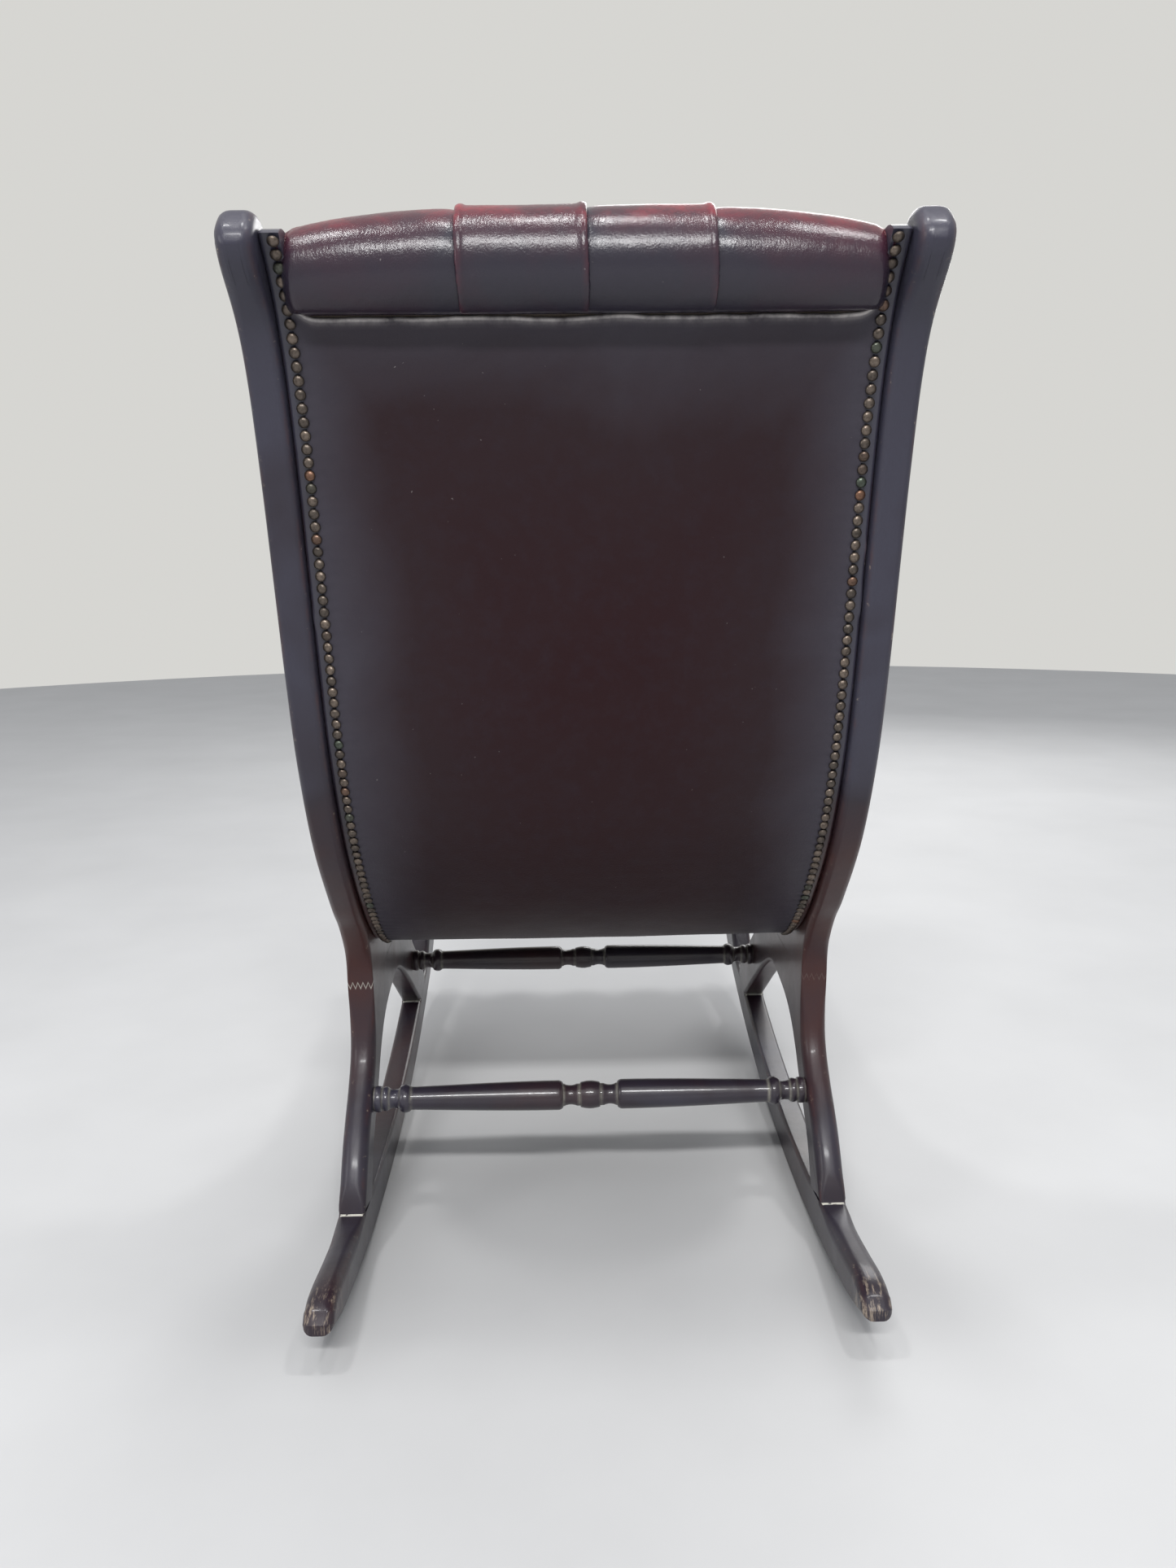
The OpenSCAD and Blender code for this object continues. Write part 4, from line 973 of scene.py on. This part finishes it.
def makeOutsideBack():
    shape = outsideBack
    rows, foldHighlightAndWear = [], []
    steps, radius = shape["foldSteps"], shape["fold"]
    for i in range(-steps, shape["rows"] + 1):
        t = max(i, 0) / shape["rows"]
        row = []
        for j in range(shape["columns"] + 1):
            side = 2 * j / shape["columns"] - 1
            x = shape["half"] * math.sin(side * math.pi / 2)
            edge = shape["half"] - abs(x)
            # the fold curves up at both ends and wavers between them
            top = shape["from"] + shape["foldAt"] - shape["foldEnds"] * math.exp(-(edge / 11) ** 2)
            top += 3.0 * drift(x, 0, 62, 17) + 0.9 * drift(x, 4, 21, 23)
            s = top + radius + (shape["to"] - top - radius) * t
            dome = shape["dome"] * math.sqrt(max(0, 4 * t * (1 - t))) * (1 - (x / shape["half"]) ** 2)
            dome *= smooth(edge / 30)
            waves = 0.55 * drift(x, s, 90, 3) + 0.16 * drift(x, s, 24, 7)
            pull = shape["nailPull"] * math.cos(2 * math.pi * (s - 10) / shape["nailPitch"])
            pull *= math.exp(-edge / 11)
            lip = shape["lip"] + 1.3 * drift(x, 3, 30, 19)
            lip *= math.exp(-((s - top - radius) / shape["lipWidth"]) ** 2)
            lip *= smooth(edge / 7)
            off = chair["recess"] - dome - waves * smooth(edge / 26) + pull * smooth(edge / 3) - lip
            turn = math.pi * 0.5 * max(-i, 0) * 1.9 / steps
            s -= radius * math.sin(turn)
            off += radius * (1 - math.cos(turn))
            under = smooth((s - shape["to"] + 7) / 7)
            row.append(toWorld(x, sweep.place(s, off + shape["tuck"] * under ** 2)))
            # painted highlight along the folded top edge, partly pale wear
            worn = math.exp(-((s - top - 1.2) / 1.3) ** 2)
            foldHighlightAndWear.append(worn + 0.08 * math.exp(-((s - top - 4) / 3.0) ** 2))
        rows.append(row)
    panel = gridMesh("outsideBack", rows)
    paintPoints(panel, "fold", foldHighlightAndWear)
    thicken(panel, shape["thick"])
    return settle(panel, panelLeather, "leather", "outside_back_leather")


makeOutsideBack()
print("outside back made")


headRoll = {
    "centre": (arris[0] - 68, arris[1] - 18), "a": 38, "b": 31, "from": -72, "to": 200, "skin": 5,
    "crown": 18, "half": 254.6, "inside": 250.2, "turns": 120, "end": 10.5, "nailed": (-66, 74),
    "nailedRun": (74, 5), "nailedOff": 9.7,
    "edgeSteps": (0.15, 0.5, 1.0, 1.6, 2.3, 3.2, 4.2, 5.5, 7, 8.6),
    "cap": 251.0, "capShares": (0.35, 0.7, 0.98), "capDrop": 10, "capShade": 0.6,
    "columns": 190, "pinch": 6.5, "tuck": 4.5, "thick": 2.0, "fill": 0.8
}
# centre of each pleat, and the side of it that lies on top
pleats = ((107.2, -1), (0, 1), (-107.4, 1))
pleatFold = {
    "rise": 1.5, "riseRun": 30, "lip": 1.3, "lipAt": 2.4, "lipWidth": 2.6, "ridgeWidth": 3.0,
    "dip": 2.4, "dipRun": 5.5, "slope": 0.8, "slopeRun": 26, "sway": 0.9, "steps": range(-7, 11)
}


def pleatLap(x, turn):
    fold, height, ridge = pleatFold, 0.0, 0.0
    for centre, over in pleats:
        d = (x - centre - fold["sway"] * math.sin(math.radians(turn * 1.7)) - 0.5) * over
        if d > 0:
            height += fold["rise"] * math.exp(-d / fold["riseRun"])
            height += fold["lip"] * math.exp(-((d - fold["lipAt"]) / fold["lipWidth"]) ** 2)
            ridge += math.exp(-(d / fold["ridgeWidth"]) ** 2)
        else:
            height -= fold["dip"] * math.exp(d / fold["dipRun"])
            height -= fold["slope"] * math.exp(d / fold["slopeRun"])
    return height, ridge


def nailedEdge(turn):
    # where the leather goes under the nails, on the rear face of the inner rail
    low, high = headRoll["nailed"]
    share = min(max((turn - low) / (high - low), 0), 1)
    start, end = headRoll["nailedRun"]
    return sweep.place(start + (end - start) * share, headRoll["nailedOff"])


def headColumns():
    half, count = headRoll["half"], headRoll["columns"]
    columns = {round(-half + 2 * half * k / count, 3) for k in range(count + 1)}
    columns |= {centre + d / 2 for centre, _ in pleats for d in pleatFold["steps"]}
    columns |= {s * (half - d) for s in (-1, 1) for d in headRoll["edgeSteps"]}
    return sorted(columns)


def capEnd(i, side, rim):  # the leather turns in over the ends of the crest rail
    q, v = headRoll["centre"]
    middle = toWorld(side * headRoll["cap"], (q, v - headRoll["capDrop"]))
    start = Vector((middle.x, rim.y, rim.z))
    return [start.lerp(middle, share) for share in headRoll["capShares"]]


def makeHeadRoll():
    shape = headRoll
    columns = headColumns()
    rows, hollowsAndShade, rubs = [], [], []
    for k in range(shape["turns"] + 1):
        turn = shape["from"] + (shape["to"] - shape["from"]) * k / shape["turns"]
        angle = math.radians(turn)
        lift = (1 + math.sin(angle)) / 2
        ends = smooth((turn - shape["from"]) / 22) * smooth((shape["to"] - turn) / 20)
        tuck = shape["tuck"] * (1 - smooth((turn - shape["from"]) / 24)) ** 1.5
        row = []
        for x in columns:
            edge = shape["half"] - abs(x)
            full = quarterRound(edge / shape["end"])
            arch = 1 - abs(x / shape["half"]) ** 3.2
            lap, ridge = pleatLap(x, turn)
            gather = math.exp(-edge / 15) * smooth((turn - 20) / 50)
            crease = 1.3 * gather * drift(x * 2.2 + turn * 1.2, turn * 0.5, 9, 5)
            crease += 0.45 * drift(x, turn, 38, 9) + 0.14 * drift(x * 2.2 + turn, turn * 0.4, 9, 8)
            grow = full * (shape["skin"] + shape["crown"] * lift * arch) - shape["pinch"] * (1 - full)
            grow += ends * full * (lap * (0.35 + 0.65 * lift) + crease) - tuck * full
            centre = shape["centre"]
            p = Vector((centre[0] + (shape["a"] + grow) * math.cos(angle),
                        centre[1] + (shape["b"] + grow) * math.sin(angle)))
            first, last = shape["nailed"]
            spread = smooth((turn - first + 6) / 10) * smooth((last + 16 - turn) / 16)
            out = 1 - (1 - spread) * (1 - shape["inside"] / shape["half"])
            if edge < shape["end"] and spread > 0:
                p = p.lerp(nailedEdge(turn), spread * (1 - full) ** 0.8)
            row.append(toWorld(x * out, p))
            low = min(max(-lap / 3.0, 0), 1)
            # darkness for the leather: the lapped pleats' low sides and the pinched ends, with painted shade
            # towards the roll's underside and a little painted light over the crest
            hollowsAndShade.append(0.9 * low + 0.55 * (1 - smooth((turn + 10) / 70)) + 0.3 * (1 - full)
                          - 0.12 * smooth((turn - 35) / 30))
            rim = smooth((turn - 30) / 30) * smooth((150 - turn) / 50)
            edgeRub = ridge * (0.18 + 0.82 * smooth((turn - 15) / 40))
            rubs.append(min(1.0, 0.6 * rim * full + edgeRub))
        rows.append(row)
    rows, hollowsAndShade, rubs = addEnds(rows, hollowsAndShade, rubs, capEnd, [shape["capShade"]] * len(shape["capShares"]))
    return padSkin("headRoll", rows, hollowsAndShade, rubs, shape["thick"], shape["fill"],
                   "head_roll_leather", "head_stuffing")


makeHeadRoll()
print("head roll made")


# Deep buttoned leather: diamonds joined by pleats, running out straight to the edges
buttonNet = {
    "pitch": 107, "puff": 17, "ridge": 4, "base": 5, "side": 30, "pull": 5.5, "corner": 42,
    "half": 267.4, "columns": 132, "tuft": 13, "fan": 2.6, "soft": 1.6, "pleat": 1.5, "pleatWidth": 0.07,
    "thick": 1.6, "fill": 0.75, "skirtShades": [0.8, 1]
}
insideBack = {
    "from": 66, "to": 836, "low": 61.5, "first": 84, "pitch": 93, "rows": 7, "odd": 0,
    "steps": 160, "stops": 176, "top": 26, "bottom": 30, "skirt": 19, "seed": 21
}


def hump(t):
    return abs(math.sin(math.pi * t))


def netAt(x, s, shape):
    t = min(max(s, 0), (shape["rows"] - 1) * shape["pitch"])
    u = min(max(x / buttonNet["pitch"], -1.5), 1.5) + shape["odd"] / 2
    a = hump(u + t / (2 * shape["pitch"]))
    b = hump(u - t / (2 * shape["pitch"]))
    aside = abs(x) - 1.5 * buttonNet["pitch"]
    beyond = max(-s, s - (shape["rows"] - 1) * shape["pitch"])
    if shape["odd"] and aside > 0 and beyond > 0:  # the corners hold a tuft of their own
        a, b = (math.sin(math.pi / 2 * min(d / buttonNet["corner"], 1)) for d in (aside, beyond))
    return (a * b) ** 0.42, math.sqrt(max(a, b)), a, b


def buttonSpots(shape):
    spots = []
    for i in range(shape["rows"]):
        wide = (i + shape["odd"]) % 2
        spots += [((k - 1 - wide / 2) * buttonNet["pitch"], i * shape["pitch"]) for k in range(3 + wide)]
    return spots


def coverGrid(track, shape, stops):
    net, seed = buttonNet, shape["seed"]
    columns = [net["half"] * (2 * j / net["columns"] - 1) for j in range(net["columns"] + 1)]
    spots = buttonSpots(shape)
    rows, hollowsAndShade, rubs = [], [], []
    for s in stops:
        row = []
        local = s - shape["first"]
        for x in columns:
            edge = net["half"] - abs(x)
            puff, ridge, a, b = netAt(x, local, shape)
            full = quarterRound(edge / net["side"])
            ends = quarterRound((track.total - s) / shape["bottom"]) * quarterRound(s / shape["top"])
            near, bx, bs = min((math.hypot(x - bx, local - bs), bx, bs) for bx, bs in spots)
            tuft = math.exp(-(near / net["tuft"]) ** 2)
            way = Vector((x - bx, local - bs, 0)) / max(near, 1)
            fan = noise.noise(way * 2.6 + Vector((bx, bs, seed)) * 0.37)
            fan *= net["fan"] * math.exp(-((near - 21) / 12) ** 2) * smooth(near / 10)
            soft = net["soft"] * drift(x, s, 44, seed + 1) + 0.25 * drift(x, s, 13, seed + 2)
            pleat = sum(math.exp(-(side / net["pleatWidth"]) ** 2) for side in (a, b))
            pleat *= net["pleat"] * (1 - tuft)
            height = net["base"] + net["puff"] * puff + net["ridge"] * ridge
            height += (fan + soft) * puff - pleat - net["pull"] * tuft
            row.append(toWorld(x, track.place(s, height * full * ends)))
            hollowsAndShade.append(min(1, 0.9 * (1 - puff) ** 3 + tuft))
            rubs.append(0.5 * smooth((puff - 0.75) / 0.25) * full)
        rows.append(row)
    return rows, hollowsAndShade, rubs


def makeCover(name, track, shape, drop, *nodes):
    # drop gives where the leather ends when it turns down at both sides to the rails
    stops = [track.total * i / shape["stops"] for i in range(shape["stops"] + 1)]

    def skirtEnd(i, side, rim):
        low = toWorld(side * buttonNet["half"], drop(stops[i]))
        return [low.lerp(rim, 0.5), low]

    grid = addEnds(*coverGrid(track, shape, stops), skirtEnd, buttonNet["skirtShades"])
    padSkin(name, *grid, buttonNet["thick"], buttonNet["fill"], *nodes)
    return track


def makeInsideBack():
    shape = insideBack
    run = (shape["to"] - shape["from"]) / shape["steps"]
    track = Track([sweep.place(shape["from"] + run * k, shape["low"]) for k in range(shape["steps"] + 1)])
    return makeCover("insideBack", track, shape, lambda s: track.place(s, -shape["skirt"]),
                     "inside_back_leather", "back_stuffing")


backTrack = makeInsideBack()
print("inside back made")

seatShape = {
    "first": 70, "pitch": 86, "rows": 5, "odd": 1, "low": 73.7, "radius": 34, "face": 488.2,
    "foot": 319.8, "gap": 0.6, "steps": 80, "turnSteps": 18, "stops": 150, "top": 30, "bottom": 30,
    "skirt": 41, "rearRun": -60, "seed": 31
}


def runToS(run):  # length along the sweep where the seat reaches that far forward
    steps = 4000
    for k in range(steps):
        s = sweep.total * k / steps
        if s > backLength and -sweep.spot(s).x >= run:
            return s
    return sweep.total


def seatLine():
    shape = seatShape
    radius, face = shape["radius"], shape["face"]
    lean = sweep.heading(runToS(face - radius)).y
    turnS = runToS(face - radius + (shape["low"] - radius) * lean)
    begin = creaseS + shape["gap"]
    steps, turns = shape["steps"], shape["turnSteps"]
    line = [sweep.place(begin + (turnS - begin) * k / steps, shape["low"]) for k in range(steps + 1)]
    way = sweep.heading(turnS)
    axis = line[-1] + radius * Vector((-way.y, way.x))
    start = math.atan2(-way.x, way.y)
    for k in range(1, turns + 1):
        angle = start + (math.pi - start) * k / turns
        line.append(axis + radius * Vector((math.cos(angle), math.sin(angle))))
    line.append(Vector((line[-1].x, shape["foot"])))
    return line


def makeSeat():
    shape = seatShape
    track = Track(seatLine())

    def drop(s):
        spot = track.place(s, 0)
        floor = sweep.place(runToS(max(-spot.x, shape["rearRun"])), shape["skirt"])
        return spot.x, min(spot.y, max(floor.y, shape["foot"]))

    return makeCover("seatCover", track, shape, drop, "seat_leather", "seat_stuffing")


seatTrack = makeSeat()
print("seat made")


# Covered buttons
buttonShape = {
    "radius": 9.2, "height": 4.6, "segments": 20, "rings": 10, "off": 5.2, "tilt": 4,
    "depth": 0.15, "rub": 0.4
}


def sewButtons(name, node, track, shape, seed):
    draw = random.Random(seed)
    master = startHead("button", buttonShape)
    flattenHead(buttonShape)
    bpy.ops.object.mode_set(mode="OBJECT")
    copies = []
    for x, local in buttonSpots(shape):
        s = local + shape["first"]
        spot = toWorld(x, track.place(s, buttonShape["off"]))
        ahead = track.heading(s)
        turn = leanOut(draw, Vector((0, ahead.y, -ahead.x)), buttonShape["tilt"])
        copies.append(addCopy(master, Matrix.Translation(spot) @ turn))
    row = joinCopies(copies, master, name)
    bpy.ops.object.shade_smooth()
    for layer in ("depth", "rub"):
        paintPoints(row, layer, [buttonShape[layer]] * len(row.data.vertices))
    return settle(row, leather, "leather", node)


sewButtons("backButtons", "back_buttons", backTrack, insideBack, 41)
sewButtons("seatButtons", "seat_buttons", seatTrack, seatShape, 42)
print("buttons sewn")


# Cloth under the seat
dustCover = {
    "half": 259, "from": 903, "to": 1363, "sag": 2.2, "cells": 60, "off": 11.2, "thick": 0.6,
    "hem": 60, "hemShare": 6, "flat": (0.518, 0.46)
}


def makeDustCover():
    shape = dustCover
    rows, cells = [], shape["cells"]
    for i in range(cells + 1):
        t = i / cells
        s = shape["from"] + (shape["to"] - shape["from"]) * t
        row = []
        for j in range(cells + 1):
            x = shape["half"] * (2 * j / cells - 1)
            edge = min((shape["half"] - abs(x)) / shape["hem"], min(t, 1 - t) * shape["hemShare"], 1)
            sag = shape["sag"] * smooth(edge) + 0.5 * drift(x, s, 60, 13) * smooth(edge)
            row.append(toWorld(x, sweep.place(s, shape["off"] - sag)))
        rows.append(row)
    cloth = gridMesh("dustCover", rows)
    thicken(cloth, shape["thick"])
    return settle(cloth, blackCloth, "black_cloth", "dust_cover")


makeDustCover()
print("dust cover made")


# Inner parts keep their CAD meshes
carried = (
    (beech, ("crest_rail", "rear_seat_rail", "front_seat_rail", "corner_block_left", "corner_block_right",
             "frame_dowels", "cross_rail_dowels")),
    (steel, ("inner_rail_screws", "corner_block_screws")),
    (jute, ("back_webbing_across", "back_webbing_down", "seat_webbing_across", "seat_webbing_along",
            "back_hessian", "seat_hessian")),
    (card, ("tack_strip",))
)
for material, nodes in carried:
    for node in nodes:
        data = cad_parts[node].data
        data.materials.clear()
        data.materials.append(material)
print("inner parts finished")
